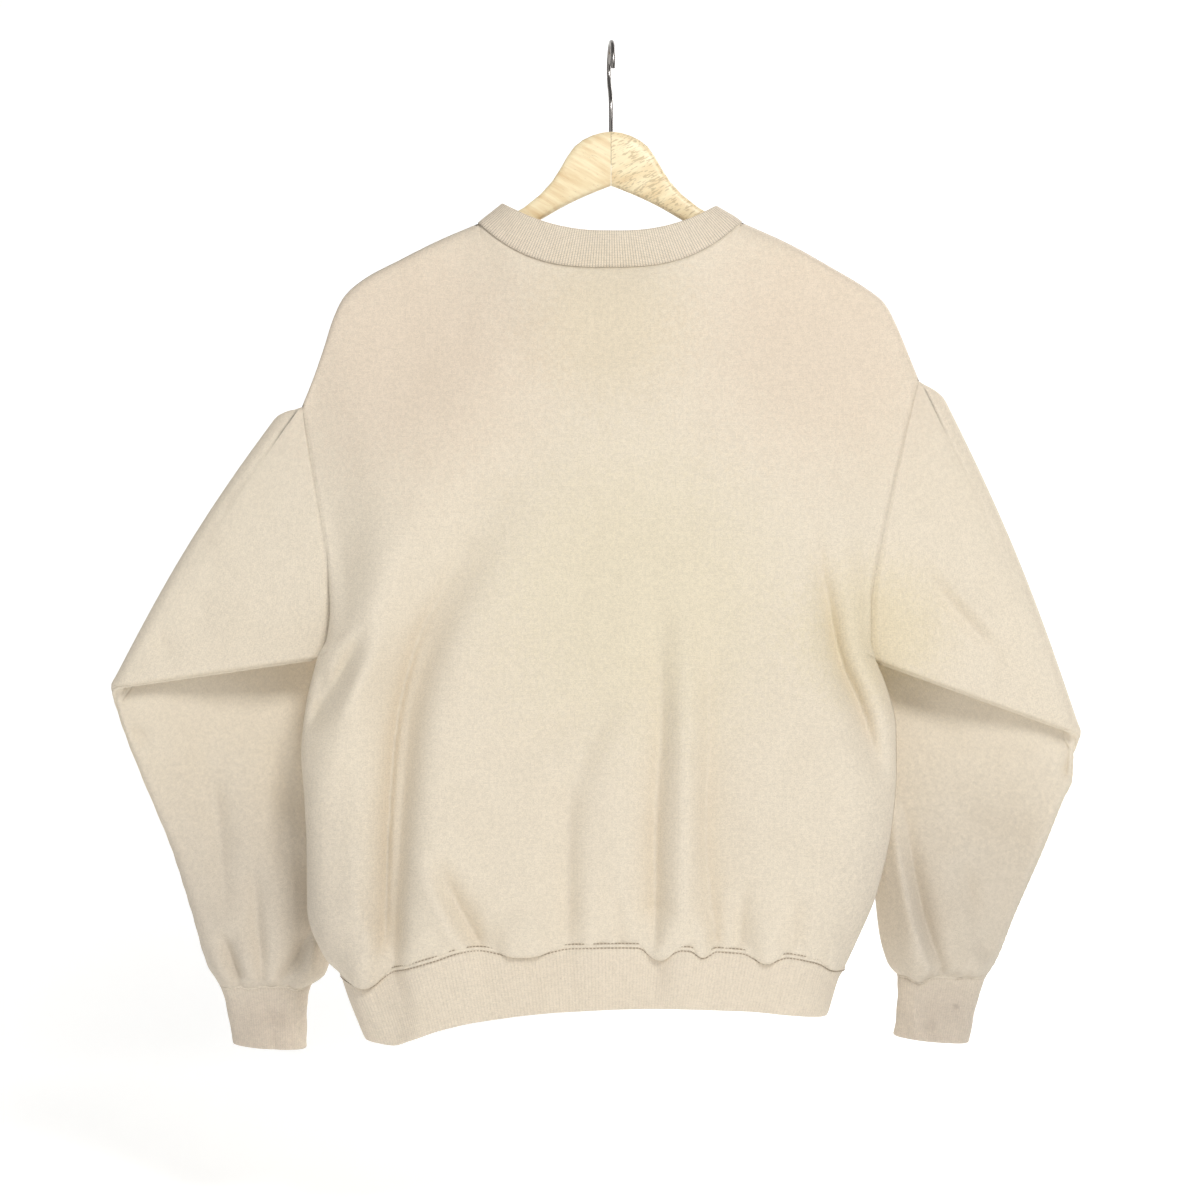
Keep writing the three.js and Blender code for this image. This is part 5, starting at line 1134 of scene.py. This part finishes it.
def spot_group():
    """A soft round patch with an uneven outline at one place of the garment, for old marks, colour tints and
    patches of painted shade.
    """
    tree, n, given, out = new_group(
        "mark_tint_and_shade_spot", [("Place", "Vector", None), ("Middle", "Vector", None), ("Reach", "Float", 0.005),
                     ("Wobble", "Float", 0.4)], [("Mask", "Float")])
    away = n.add("VectorMath", {"operation": "SUBTRACT"}, {0: given["Place"], 1: given["Middle"]})
    flat = n.add("VectorMath", {"operation": "MULTIPLY"}, {0: away.outputs[0], 1: (1.0, 0.12, 1.0)})
    length = n.add("VectorMath", {"operation": "LENGTH"}, {0: flat.outputs[0]}).outputs["Value"]
    share = n.math("DIVIDE", length, given["Reach"])
    rough = n.math("MULTIPLY", n.math("SUBTRACT", n.noise(given["Place"], 260.0, 3.0), 0.5), given["Wobble"])
    n.tree.links.new(n.ramp(n.math("ADD", share, n.math("MULTIPLY", rough, 2.0)), 1.0, 0.2), out["Mask"])
    return tree


def grain_group():
    """Wood grain along the first axis: long streaks, short dark pores and slow colour change."""
    tree, n, given, out = new_group(
        "wood_grain", [("Along", "Vector", None), ("Stretch", "Float", 14.0), ("Pores", "Float", 0.5)],
        [("Streak", "Float"), ("Pore", "Float"), ("Tone", "Float")])
    factor = n.add("CombineXYZ", None, {0: 1.0, 1: given["Stretch"], 2: given["Stretch"]})
    long = n.add("VectorMath", {"operation": "MULTIPLY"}, {0: given["Along"], 1: factor.outputs[0]})
    n.tree.links.new(n.ramp(n.noise(long.outputs[0], 26.0, 5.0, 0.62), 0.3, 0.7), out["Streak"])
    pore = n.noise(long.outputs[0], 160.0, 2.0, 0.5)
    limit = n.math("SUBTRACT", 0.72, n.math("MULTIPLY", given["Pores"], 0.2))
    n.tree.links.new(n.ramp(pore, limit, n.math("ADD", limit, 0.07)), out["Pore"])
    n.tree.links.new(n.ramp(n.noise(given["Along"], 22.0, 2.0), 0.3, 0.7), out["Tone"])
    return tree


def new_material(name):
    material = bpy.data.materials.new(name)
    material.use_nodes = True
    tree = material.node_tree
    tree.nodes.clear()
    n = Nodes(tree)
    shader = n.add("BsdfPrincipled")
    output = n.add("OutputMaterial")
    tree.links.new(shader.outputs[0], output.inputs[0])
    return material, n, shader


def use_group(n, name, inputs):
    node = n.add("Group", {"node_tree": bpy.data.node_groups[name]}, inputs)
    return node.outputs


def rgba(colour):
    return (*colour, 1.0)


# Wear of the cotton: columns output of its node group, strength, factors on the base colour
WEAR = [
    ("Cloud", 0.5, (0.97, 0.955, 0.93)),
    ("Blotch", 0.4, (1.03, 1.035, 1.04)),
    ("Slub", 0.4, (0.93, 0.92, 0.9)),
]
CLOUD_SIZE = 5.0
MARK_WOBBLE = 0.5
TINT_AND_SHADE_WOBBLE = 0.3
# Marks of use, in metres: columns place, reach, strength
MARKS = [
    ((-0.100, -0.055, -0.676), 0.0013, 0.75),
    ((-0.042, -0.05, -0.787), 0.0009, 0.5),
    ((0.2975, 0.03, -0.822), 0.0042, 0.3),
    ((0.275, 0.03, -0.839), 0.008, 0.12),
    ((-0.287, 0.03, -0.835), 0.012, 0.1),
]
# Colour drifts and painted shade over the garment, in metres: columns place, reach, tint and shade. The
# shoulders are a little pinker and the middle yellower. The lower sleeves and cuffs are greyer and darker:
# painted shade for the shadow on the hanging parts of the sleeves.
TINTS_AND_SHADE = [
    ((-0.17, -0.03, -0.26), 0.17, (0.985, 0.945, 0.935)),
    ((0.18, -0.03, -0.25), 0.17, (0.985, 0.945, 0.93)),
    ((-0.32, 0.02, -0.76), 0.19, (0.865, 0.865, 0.885)),
    ((0.31, 0.02, -0.76), 0.19, (0.82, 0.82, 0.835)),
    ((-0.295, 0.04, -0.85), 0.06, (0.92, 0.91, 0.92)),
    ((0.285, 0.04, -0.845), 0.06, (0.90, 0.89, 0.90)),
    ((0.02, -0.05, -0.47), 0.18, (0.985, 0.985, 0.93)),
    ((0.22, -0.02, -0.5), 0.09, (0.97, 0.96, 0.88)),
    ((0.0, -0.04, -0.24), 0.1, (0.95, 0.93, 0.88)),
]


def shaded(colour, factors):
    return rgba([part * factor for part, factor in zip(colour, factors)])


# Mask of one spot: an old mark, a colour tint or a patch of painted shade on the lower sleeves.
def mark_tint_and_shade_mask(n, place, middle, reach, wobble):
    inputs = {"Place": place, "Middle": middle, "Reach": reach, "Wobble": wobble}
    return use_group(n, "mark_tint_and_shade_spot", inputs)["Mask"]


def cloth_colour(n, colours, base, place, cloth, marks):
    """Base colour of the cotton with its wear, tints, painted shade on the lower sleeves and cuffs, and
    marks.
    """
    wear = use_group(n, "washed_cotton", {"Place": place, "Cloth": cloth, "Size": CLOUD_SIZE})
    colour = rgba(base)
    for output, strength, factors in WEAR:
        colour = n.mix(n.math("MULTIPLY", wear[output], strength), colour, shaded(base, factors))
    # Colour tints, and painted shade that darkens the hanging lower sleeves and cuffs.
    for middle, reach, tint_and_shade in TINTS_AND_SHADE:
        mask = mark_tint_and_shade_mask(n, place, middle, reach, TINT_AND_SHADE_WOBBLE)
        colour = n.mix(mask, colour, n.mix(1.0, colour, rgba(tint_and_shade), "MULTIPLY"))
    for middle, reach, strength in marks:
        mask = mark_tint_and_shade_mask(n, place, middle, reach, MARK_WOBBLE)
        colour = n.mix(n.math("MULTIPLY", mask, strength), colour, rgba(colours.mark))
    return colour, wear


def cloth_material(name, colours, base, wale, course, depth, sheen, marks, valley_shade):
    material, n, shader = new_material(name)
    place = n.add("TexCoord").outputs["Object"]
    cloth = n.add("UVMap", {"uv_map": "cloth"}).outputs[0]
    colour, wear = cloth_colour(n, colours, base, place, cloth, marks)
    knit = use_group(n, "knit_loops", {"Cloth": cloth, "Wale": wale, "Course": course})
    fibre = n.ramp(knit["Fibre"], 0.3, 0.7, -0.08, 0.08)
    lint = n.ramp(n.noise(place, 330.0, 3.0), 0.3, 0.7, -0.04, 0.04)
    # Painted shade: the colour is darkened in the knit's valleys between wales and loops, most on the
    # collar's ribs. The fibre and lint flecks add the cotton's own uneven tone.
    fleck = n.math("ADD", n.math("ADD", fibre, lint), 1 - 0.75 * valley_shade)
    shade = n.math("ADD", n.math("MULTIPLY", knit["Height"], valley_shade), fleck)
    valley_shade_and_fleck = n.add("CombineColor", None, {0: shade, 1: shade, 2: shade}).outputs[0]
    colour = n.mix(1.0, colour, valley_shade_and_fleck, "MULTIPLY")
    height = n.math("ADD", n.math("MULTIPLY", knit["Height"], 0.7), n.math("MULTIPLY", knit["Fibre"], 0.8))
    bump = n.add("Bump", None, {"Strength": 0.5, "Distance": depth, "Height": height})
    rough = n.math("ADD", n.math("MULTIPLY", wear["Blotch"], 0.08), 0.88)
    links = n.tree.links
    links.new(colour, shader.inputs["Base Color"])
    links.new(rough, shader.inputs["Roughness"])
    links.new(bump.outputs[0], shader.inputs["Normal"])
    shader.inputs["Sheen Weight"].default_value = sheen
    shader.inputs["Sheen Roughness"].default_value = 0.5
    shader.inputs["Specular IOR Level"].default_value = 0.2
    return material


def wood_material(name, colours, angle, stretch, pores):
    material, n, shader = new_material(name)
    place = n.add("TexCoord").outputs["Object"]
    turn = (0.0, math.radians(angle), 0.0)
    turned = n.add("Mapping", {"vector_type": "POINT"}, {"Vector": place, "Rotation": turn})
    grain = use_group(n, "wood_grain", {"Along": turned.outputs[0], "Stretch": stretch, "Pores": pores})
    colour = n.mix(grain["Streak"], rgba(colours.wood), rgba(colours.wood_dark))
    light = rgba([min(1.0, c * 1.06) for c in colours.wood])
    colour = n.mix(n.math("MULTIPLY", grain["Tone"], 0.5), colour, light)
    dark = rgba([c * 0.62 for c in colours.wood_dark])
    colour = n.mix(n.math("MULTIPLY", grain["Pore"], 0.55), colour, dark)
    height = n.math("SUBTRACT", n.math("MULTIPLY", grain["Streak"], 0.3), grain["Pore"])
    bump = n.add("Bump", None, {"Strength": 0.35, "Distance": 0.0003, "Height": height})
    links = n.tree.links
    links.new(colour, shader.inputs["Base Color"])
    links.new(n.math("ADD", n.math("MULTIPLY", grain["Pore"], 0.2), 0.42), shader.inputs["Roughness"])
    links.new(bump.outputs[0], shader.inputs["Normal"])
    shader.inputs["Coat Weight"].default_value = 0.15
    shader.inputs["Coat Roughness"].default_value = 0.35
    return material


def wire_material(name, colours):
    material, n, shader = new_material(name)
    place = n.add("TexCoord").outputs["Object"]
    long = n.add("VectorMath", {"operation": "MULTIPLY"}, {0: place, 1: (900.0, 900.0, 60.0)})
    scratch = n.ramp(n.noise(long.outputs[0], 1.0, 3.0), 0.4, 0.7)
    dull = n.ramp(n.noise(place, 90.0, 3.0), 0.35, 0.75)
    colour = n.mix(n.math("MULTIPLY", dull, 0.35), rgba(colours.wire), rgba([c * 0.6 for c in colours.wire]))
    bump = n.add("Bump", None, {"Strength": 0.15, "Distance": 0.0001, "Height": scratch})
    links = n.tree.links
    links.new(colour, shader.inputs["Base Color"])
    links.new(n.math("ADD", n.math("MULTIPLY", dull, 0.2), 0.16), shader.inputs["Roughness"])
    links.new(bump.outputs[0], shader.inputs["Normal"])
    shader.inputs["Metallic"].default_value = 1.0
    return material


def stage_material(name, colour, glow):
    """A pale matt finish, see-through from its back, so that it hides nothing in a view from behind."""
    material, n, shader = new_material(name)
    place = n.add("TexCoord").outputs["Object"]
    cloud = n.ramp(n.noise(place, 3.0, 3.0), 0.2, 0.8)
    tone = n.mix(n.math("MULTIPLY", cloud, 0.3), rgba(colour), rgba([c * 0.985 for c in colour]))
    n.tree.links.new(tone, shader.inputs["Base Color"])
    shader.inputs["Roughness"].default_value = 0.9
    shader.inputs["Emission Color"].default_value = rgba(colour)
    shader.inputs["Emission Strength"].default_value = glow
    behind = n.add("NewGeometry").outputs["Backfacing"]
    clear = n.add("BsdfTransparent").outputs[0]
    one_sided = n.add("MixShader", None, {0: behind, 1: shader.outputs[0], 2: clear})
    n.tree.links.new(one_sided.outputs[0], n.tree.nodes["Material Output"].inputs[0])
    return material


def size_property(name, text, default, low=0.0, high=0.1):
    return FloatProperty(
        name=name, description=text, default=default, min=low, max=high, unit="LENGTH", precision=5)


def count_property(name, text, default):
    return IntProperty(name=name, description=text, default=default, min=30, max=500)


def colour_property(name, text, default):
    return FloatVectorProperty(
        name=name, description=text, default=default, size=3, subtype="COLOR", min=0, max=1)


class SweatshirtSizes(bpy.types.PropertyGroup):
    fleece: size_property("Fleece", "Thickness of the body and sleeves", 0.0024)
    rib: size_property("Rib", "Thickness of the doubled rib", 0.0034)
    collar_wale: size_property("Collar wale", "Height of the collar's wales", 0.0007)
    band_wale: size_property("Band wale", "Height of the wales of the waistband and cuffs", 0.00022)
    crease: FloatProperty(
        name="Creases", description="Share of the small creases and unevenness", default=1.4, min=0, max=2,
        subtype="FACTOR")
    collar_wales: count_property("Collar wales", "Wales round the collar", 252)
    band_wales: count_property("Band wales", "Wales round the waistband", 330)
    cuff_wales: count_property("Cuff wales", "Wales round a cuff", 78)
    stitch: size_property("Stitch", "Length of one stitch of the seams", 0.003, 0.001, 0.01)


class SweatshirtColours(bpy.types.PropertyGroup):
    fleece: colour_property("Fleece", "Colour of the body and sleeves", (0.775, 0.690, 0.560))
    rib: colour_property("Rib", "Colour of the collar, waistband and cuffs", (0.745, 0.655, 0.530))
    thread: colour_property("Thread", "Colour of the sewing thread", (0.42, 0.345, 0.26))
    mark: colour_property("Mark", "Colour of the old marks", (0.16, 0.11, 0.09))
    wood: colour_property("Wood", "Light colour of the hanger", (0.95, 0.82, 0.55))
    wood_dark: colour_property("Wood grain", "Dark colour of the hanger's grain", (0.78, 0.58, 0.32))
    wire: colour_property("Wire", "Colour of the hook's wire", (0.30, 0.28, 0.265))
    stage: colour_property("Stage", "Colour of the floor and backdrop", (0.93, 0.93, 0.925))


def material_of(name):
    material = bpy.data.materials.get(name)
    if material is None:
        raise RuntimeError("make the finishes before the piece that uses " + name)
    return material


def sleeve_rings(side, context):
    if side not in SLEEVE_RINGS:
        SLEEVE_RINGS[side] = sleeve_grid(side, context.scene.sweatshirt_sizes.crease)
    return SLEEVE_RINGS[side]


SLEEVE_RINGS = {}


class SWEATSHIRT_OT_finishes(bpy.types.Operator):
    """Makes the finishes of the cloth, thread, wood, wire and stage"""

    bl_idname = "sweatshirt.finishes"
    bl_label = "Make finishes"

    def execute(self, context):
        for make in (knit_group, mottle_group, spot_group, grain_group):
            make()
        colours = context.scene.sweatshirt_colours
        pitch = RIB_PITCH * MM
        # The last number of each cloth finish is how much painted shade darkens the knit's valleys.
        cloth_material(
            "brushed_fleece", colours, colours.fleece, wale=0.0011, course=0.0012, depth=0.00022, sheen=0.12,
            marks=MARKS[:1], valley_shade=0.08)
        cloth_material(
            "collar_knit", colours, colours.rib, wale=pitch, course=0.0013, depth=0.0003, sheen=0.1,
            marks=[], valley_shade=0.55)
        cloth_material(
            "band_knit", colours, colours.rib, wale=pitch, course=0.0013, depth=0.0002, sheen=0.1,
            marks=MARKS[1:], valley_shade=0.1)
        cloth_material(
            "sewing_thread", colours, colours.thread, wale=0.0004, course=0.0005, depth=0.0001, sheen=0.05,
            marks=[], valley_shade=0.05)
        wood_material("wood_lengthwise", colours, angle=-30, stretch=9.0, pores=0.25)
        wood_material("wood_flecked", colours, angle=28, stretch=4.5, pores=0.95)
        wire_material("hook_wire", colours)
        stage_material("pale_stage", colours.stage, glow=0.32)
        return {"FINISHED"}


class SWEATSHIRT_OT_panels(bpy.types.Operator):
    """Builds the back and the front of the body"""

    bl_idname = "sweatshirt.panels"
    bl_label = "Build body panels"

    def execute(self, context):
        sizes = context.scene.sweatshirt_sizes
        for face, flat, area in (("back", (0.57, 0.66), 0.325), ("front", (0.57, 0.64), 0.31)):
            piece = build_panel(face, sizes.fleece / MM, sizes.crease, material_of("brushed_fleece"))
            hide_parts(face + "_panel")
        return {"FINISHED"}


class SWEATSHIRT_OT_sleeves(bpy.types.Operator):
    """Builds both sleeves, folded forward"""

    bl_idname = "sweatshirt.sleeves"
    bl_label = "Build sleeves"

    def execute(self, context):
        sizes = context.scene.sweatshirt_sizes
        for side in SIGN:
            fleece = material_of("brushed_fleece")
            piece = build_sleeve(side, sleeve_rings(side, context), sizes.fleece / MM, fleece)
            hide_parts("sleeve_" + side)
        return {"FINISHED"}


class SWEATSHIRT_OT_collar(bpy.types.Operator):
    """Builds the ribbed collar"""

    bl_idname = "sweatshirt.collar"
    bl_label = "Build collar"

    def execute(self, context):
        sizes = context.scene.sweatshirt_sizes
        count = sizes.collar_wales * POINTS_PER_WALE
        turn = even_neck()(np.arange(count) / count)
        low, high, normal = (neck_loop(turn, lambda face, t, k=k: collar_frame(face, t)[k]) for k in range(3))
        spec = (sizes.rib / MM, sizes.collar_wale / MM, sizes.collar_wales, 9, lambda share: 0.0)
        bend = lambda at, share: 0.7 * unevenness(at[:, 0], at[:, 1] * 3, 81, 46) * arch(share / 1.3)
        piece = rib_tube("collar_rib", low, high, normal, normal, spec, bend, material_of("collar_knit"))
        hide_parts("collar")
        return {"FINISHED"}


class SWEATSHIRT_OT_waistband(bpy.types.Operator):
    """Builds the ribbed waistband"""

    bl_idname = "sweatshirt.waistband"
    bl_label = "Build waistband"

    def execute(self, context):
        sizes = context.scene.sweatshirt_sizes
        loops = (SEAM_LOOP, HEM_LOOP, SEAM_NORMALS, loop_normals(HEM_LOOP, DOWN))
        low, high, *normals = resample(SEAM_LOOP, loops, sizes.band_wales * POINTS_PER_WALE)
        spec = (sizes.rib / MM, sizes.band_wale / MM, sizes.band_wales, 13, lambda share: 0.0)

        def waves(at, share):
            wide = 0.9 * unevenness(at[:, 0], at[:, 2] * 0.4, 83, 60)
            small = 0.35 * unevenness(at[:, 0], at[:, 2] * 0.5, 84, 22)
            return (wide + small) * ease(share / 0.25) * ease((1 - share) / 0.06 + 0.5)

        piece = rib_tube("waist_rib", low, high, *map(unit, normals), spec, waves, material_of("band_knit"))
        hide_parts("waistband")
        return {"FINISHED"}


class SWEATSHIRT_OT_cuffs(bpy.types.Operator):
    """Builds both ribbed cuffs"""

    bl_idname = "sweatshirt.cuffs"
    bl_label = "Build cuffs"

    def execute(self, context):
        sizes = context.scene.sweatshirt_sizes
        waist = smooth_column([row[0] for row in CUFF_WAIST], [row[1] for row in CUFF_WAIST])
        for side in SIGN:
            top = sleeve_rings(side, context)[-1]
            x, z, y, half, deep, tilt = CUFF[side]
            angle = np.arccos(1 - 2 * RING_T)
            across = SIGN[side] * np.cos(angle)
            out = np.where(RING_BACK, deep, -deep) * np.sin(angle)
            bottom = np.stack([x + half * across, y + out, z + tilt * across], axis=-1)
            axis = cuff_axis(side, top)
            loops = (top, bottom, loop_normals(top, axis), loop_normals(bottom, axis))
            low, high, *normals = resample(top, loops, sizes.cuff_wales * POINTS_PER_WALE)
            spec = (sizes.rib / MM, sizes.band_wale / MM, sizes.cuff_wales, 18, waist)
            seen = lambda at: (at[:, 1] < lerp(top[:, 1].mean(), y, 0.5)).astype(float)

            def waves(at, share, side=side, seen=seen):
                lines = crease_lift(CUFF_CREASES[side], at[:, 0], at[:, 2]) * seen(at)
                soft = 0.6 * unevenness(at[:, 0], at[:, 2], 85, 30) + lines
                return soft * ease(share / 0.2)

            name = "cuff_" + side
            knit = material_of("band_knit")
            piece = rib_tube(name + "_rib", low, high, *map(unit, normals), spec, waves, knit)
            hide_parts(name)
        return {"FINISHED"}


class SWEATSHIRT_OT_seams(bpy.types.Operator):
    """Sews the armholes, underarm seams, collar, waistband and cuffs"""

    bl_idname = "sweatshirt.seams"
    bl_label = "Sew seams"

    def execute(self, context):
        sizes = context.scene.sweatshirt_sizes
        pitch, half = sizes.stitch / MM, sizes.fleece / MM / 2
        for side in SIGN:
            rings = sleeve_rings(side, context)
            line = sewing_line(rings[0], armhole_normals(side), SEAM_POINTS["armhole"], half)
            self.sew("armhole", line, pitch, "_" + side)
            self.sew_sleeve(side, rings, pitch, half)
        turn = even_neck()(np.arange(NECK_POINTS) / NECK_POINTS)
        low, normal = (neck_loop(turn, lambda face, t, k=k: collar_frame(face, t)[k]) for k in (0, 2))
        for name, loop, normals in (("waist", SEAM_LOOP, SEAM_NORMALS), ("neck", low, normal)):
            self.sew(name, sewing_line(loop, normals, SEAM_POINTS[name], half + RIB_SEAM_LIFT), pitch)
        return {"FINISHED"}

    def sew(self, kind, line, pitch, side=""):
        """A ridge with a row of stitches on either side."""
        seam_strip(kind + "_seam" + side, line, RIDGES[kind], pitch, material_of("brushed_fleece"))
        offset, lift = STITCHES[kind]
        stitch_rows(kind + "_stitches" + side, line, offset, lift, pitch, material_of("sewing_thread"))

    def sew_sleeve(self, side, rings, pitch, half):
        """The underarm seam down a sleeve, and the seam that joins it to the cuff."""
        fleece = material_of("brushed_fleece")
        middle, normal = rings[1:, 0], unit(sleeve_normals(rings)[1:, 0])
        line = middle + normal * half, normal, unit(np.cross(np.gradient(middle, axis=0), normal))
        seam_strip("underarm_seam_" + side, line, RIDGES["underarm"], pitch, fleece, closed=False)
        end = rings[-1]
        normals = loop_normals(end, cuff_axis(side, end))
        line = sewing_line(end, normals, SEAM_POINTS["cuff"], half + RIB_SEAM_LIFT)
        seam_strip("cuff_seam_" + side, line, RIDGES["cuff"], pitch, fleece)


# Facets meet smoothly below this angle, in degrees, once points this close, in metres, are joined
SMOOTH_BELOW = 48
JOIN_WITHIN = 0.00001
FINISHES = {"hanger_left": "wood_lengthwise", "hanger_right": "wood_flecked", "hanger_hook": "hook_wire"}


def smooth_facets():
    """A modifier's nodes that join a solid's facets, drop their flat normals and shade them smoothly."""
    tree = bpy.data.node_groups.new("smooth_facets", "GeometryNodeTree")
    for in_out in ("INPUT", "OUTPUT"):
        tree.interface.new_socket(name="Solid", in_out=in_out, socket_type="NodeSocketGeometry")
    kinds = ("NodeGroupInput", "GeometryNodeMergeByDistance", "GeometryNodeRemoveAttribute",
             "GeometryNodeSetShadeSmooth", "NodeGroupOutput")
    chain = [tree.nodes.new(kind) for kind in kinds]
    for first, second in zip(chain[:-1], chain[1:]):
        tree.links.new(first.outputs[0], second.inputs[0])
    chain[1].inputs["Distance"].default_value = JOIN_WITHIN
    chain[2].inputs["Name"].default_value = "custom_normal"
    return tree


class SWEATSHIRT_OT_hanger(bpy.types.Operator):
    """Finishes the wooden hanger and its wire hook"""

    bl_idname = "sweatshirt.hanger"
    bl_label = "Finish hanger"

    def execute(self, context):
        nodes = smooth_facets()
        for node, finish in FINISHES.items():
            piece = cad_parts[node]
            piece.modifiers.new("smooth", "NODES").node_group = nodes
            piece.modifiers.new("edges", "EDGE_SPLIT").split_angle = math.radians(SMOOTH_BELOW)
            piece.material_slots[0].material = material_of(finish)
        return {"FINISHED"}


# The stage, in metres: height of the floor, place of the backdrop, radius of the bend between them, half the
# width, and where the floor begins and the backdrop ends
STAGE = {"floor": -1.02, "wall": 1.5, "bend": 0.6, "half_width": 3.2, "start": -3.0, "end": 2.2}
BEND_POINTS = 17
ROOM_LIGHT = (1.0, 0.995, 0.985, 1.0)
ROOM_STRENGTH = 0.25
WHITE = (1.0, 1.0, 1.0, 1.0)
# Soft square lamps: columns place, width, power. They all aim at the middle of the garment.
LAMPS = {
    "key": ((0.75, -2.3, 1.25), 0.8, 50),
    "fill": ((-1.9, -2.1, 0.1), 1.6, 8),
    "rim": ((1.5, 1.2, 0.6), 0.9, 22),
}
LAMP_AIM = (0, 0, -0.5)
# The camera looks along +Y. What it sees at the garment is this wide, in metres.
CAMERA_PLACE = (-0.0094, -2.4, -0.472)
VIEW_WIDTH = 1.02
SENSOR_MM = 36


class SWEATSHIRT_OT_stage(bpy.types.Operator):
    """Sets the pale floor and backdrop, the soft light and the camera"""

    bl_idname = "sweatshirt.stage"
    bl_label = "Set stage"

    def execute(self, context):
        self.build_floor(context.scene)
        self.light_room(context.scene)
        for name, (place, size, power) in LAMPS.items():
            light = bpy.data.lights.new(name, "AREA")
            light.shape = "RECTANGLE"
            light.size, light.size_y, light.energy = size, size, power
            lamp = bpy.data.objects.new(name, light)
            lamp.location = place
            lamp.rotation_euler = (Vector(LAMP_AIM) - Vector(place)).to_track_quat("-Z", "Y").to_euler()
            context.scene.collection.objects.link(lamp)
        camera = bpy.data.objects.new("camera", bpy.data.cameras.new("camera"))
        camera.location = CAMERA_PLACE
        camera.rotation_euler = (math.pi / 2, 0, 0)
        camera.data.sensor_width = SENSOR_MM
        camera.data.lens = SENSOR_MM * -CAMERA_PLACE[1] / VIEW_WIDTH
        context.scene.collection.objects.link(camera)
        context.scene.camera = camera
        context.scene.view_settings.view_transform = "Standard"
        return {"FINISHED"}

    def build_floor(self, scene):
        """One sheet: the floor, a round bend and the backdrop."""
        floor, wall, bend, half = (STAGE[key] for key in ("floor", "wall", "bend", "half_width"))
        profile = [(STAGE["start"], floor)]
        for turn in np.linspace(0, math.pi / 2, BEND_POINTS):
            profile.append((wall - bend + bend * math.sin(turn), floor + bend - bend * math.cos(turn)))
        profile.append((wall, STAGE["end"]))
        points = [(x, float(y), float(z)) for y, z in profile for x in (-half, half)]
        quads = [(i, i + 1, i + 3, i + 2) for i in range(0, len(points) - 2, 2)]
        mesh = bpy.data.meshes.new("floor")
        mesh.from_pydata(points, [], quads)
        mesh.polygons.foreach_set("use_smooth", np.ones(len(quads), bool))
        mesh.materials.append(material_of("pale_stage"))
        sheet = bpy.data.objects.new("floor", mesh)
        scene.collection.objects.link(sheet)

    def light_room(self, scene):
        """Weak even light from all round, which shows as plain white where nothing stands before it."""
        world = bpy.data.worlds.new("soft_room")
        world.use_nodes = True
        n = Nodes(world.node_tree)
        soft = world.node_tree.nodes["Background"]
        soft.inputs["Color"].default_value = ROOM_LIGHT
        soft.inputs["Strength"].default_value = ROOM_STRENGTH
        pale = n.add("Background", None, {"Color": WHITE, "Strength": 1.0}).outputs[0]
        seen = n.add("LightPath").outputs["Is Camera Ray"]
        room = n.add("MixShader", None, {0: seen, 1: soft.outputs[0], 2: pale})
        n.tree.links.new(room.outputs[0], world.node_tree.nodes["World Output"].inputs[0])
        scene.world = world


class SWEATSHIRT_PT_sidebar(bpy.types.Panel):
    """Sizes, colours and building steps of the sweatshirt"""

    bl_label = "Sweatshirt"
    bl_idname = "SWEATSHIRT_PT_sidebar"
    bl_space_type = "VIEW_3D"
    bl_region_type = "UI"
    bl_category = "Sweatshirt"

    def draw(self, context):
        for group in (context.scene.sweatshirt_sizes, context.scene.sweatshirt_colours):
            box = self.layout.box()
            for key in group.__annotations__:
                box.prop(group, key)
        for operator in OPERATORS:
            self.layout.operator(operator.bl_idname)


OPERATORS = (
    SWEATSHIRT_OT_finishes, SWEATSHIRT_OT_panels, SWEATSHIRT_OT_sleeves, SWEATSHIRT_OT_collar,
    SWEATSHIRT_OT_waistband, SWEATSHIRT_OT_cuffs, SWEATSHIRT_OT_seams, SWEATSHIRT_OT_hanger,
    SWEATSHIRT_OT_stage,
)
CLASSES = (SweatshirtSizes, SweatshirtColours, *OPERATORS, SWEATSHIRT_PT_sidebar)


def register():
    for cls in CLASSES:
        bpy.utils.register_class(cls)
    bpy.types.Scene.sweatshirt_sizes = PointerProperty(type=SweatshirtSizes)
    bpy.types.Scene.sweatshirt_colours = PointerProperty(type=SweatshirtColours)


def unregister():
    del bpy.types.Scene.sweatshirt_sizes
    del bpy.types.Scene.sweatshirt_colours
    for cls in reversed(CLASSES):
        bpy.utils.unregister_class(cls)


def main():
    register()
    for operator in OPERATORS:
        getattr(bpy.ops.sweatshirt, operator.bl_idname.split(".")[1])()


if __name__ == "__main__":
    main()
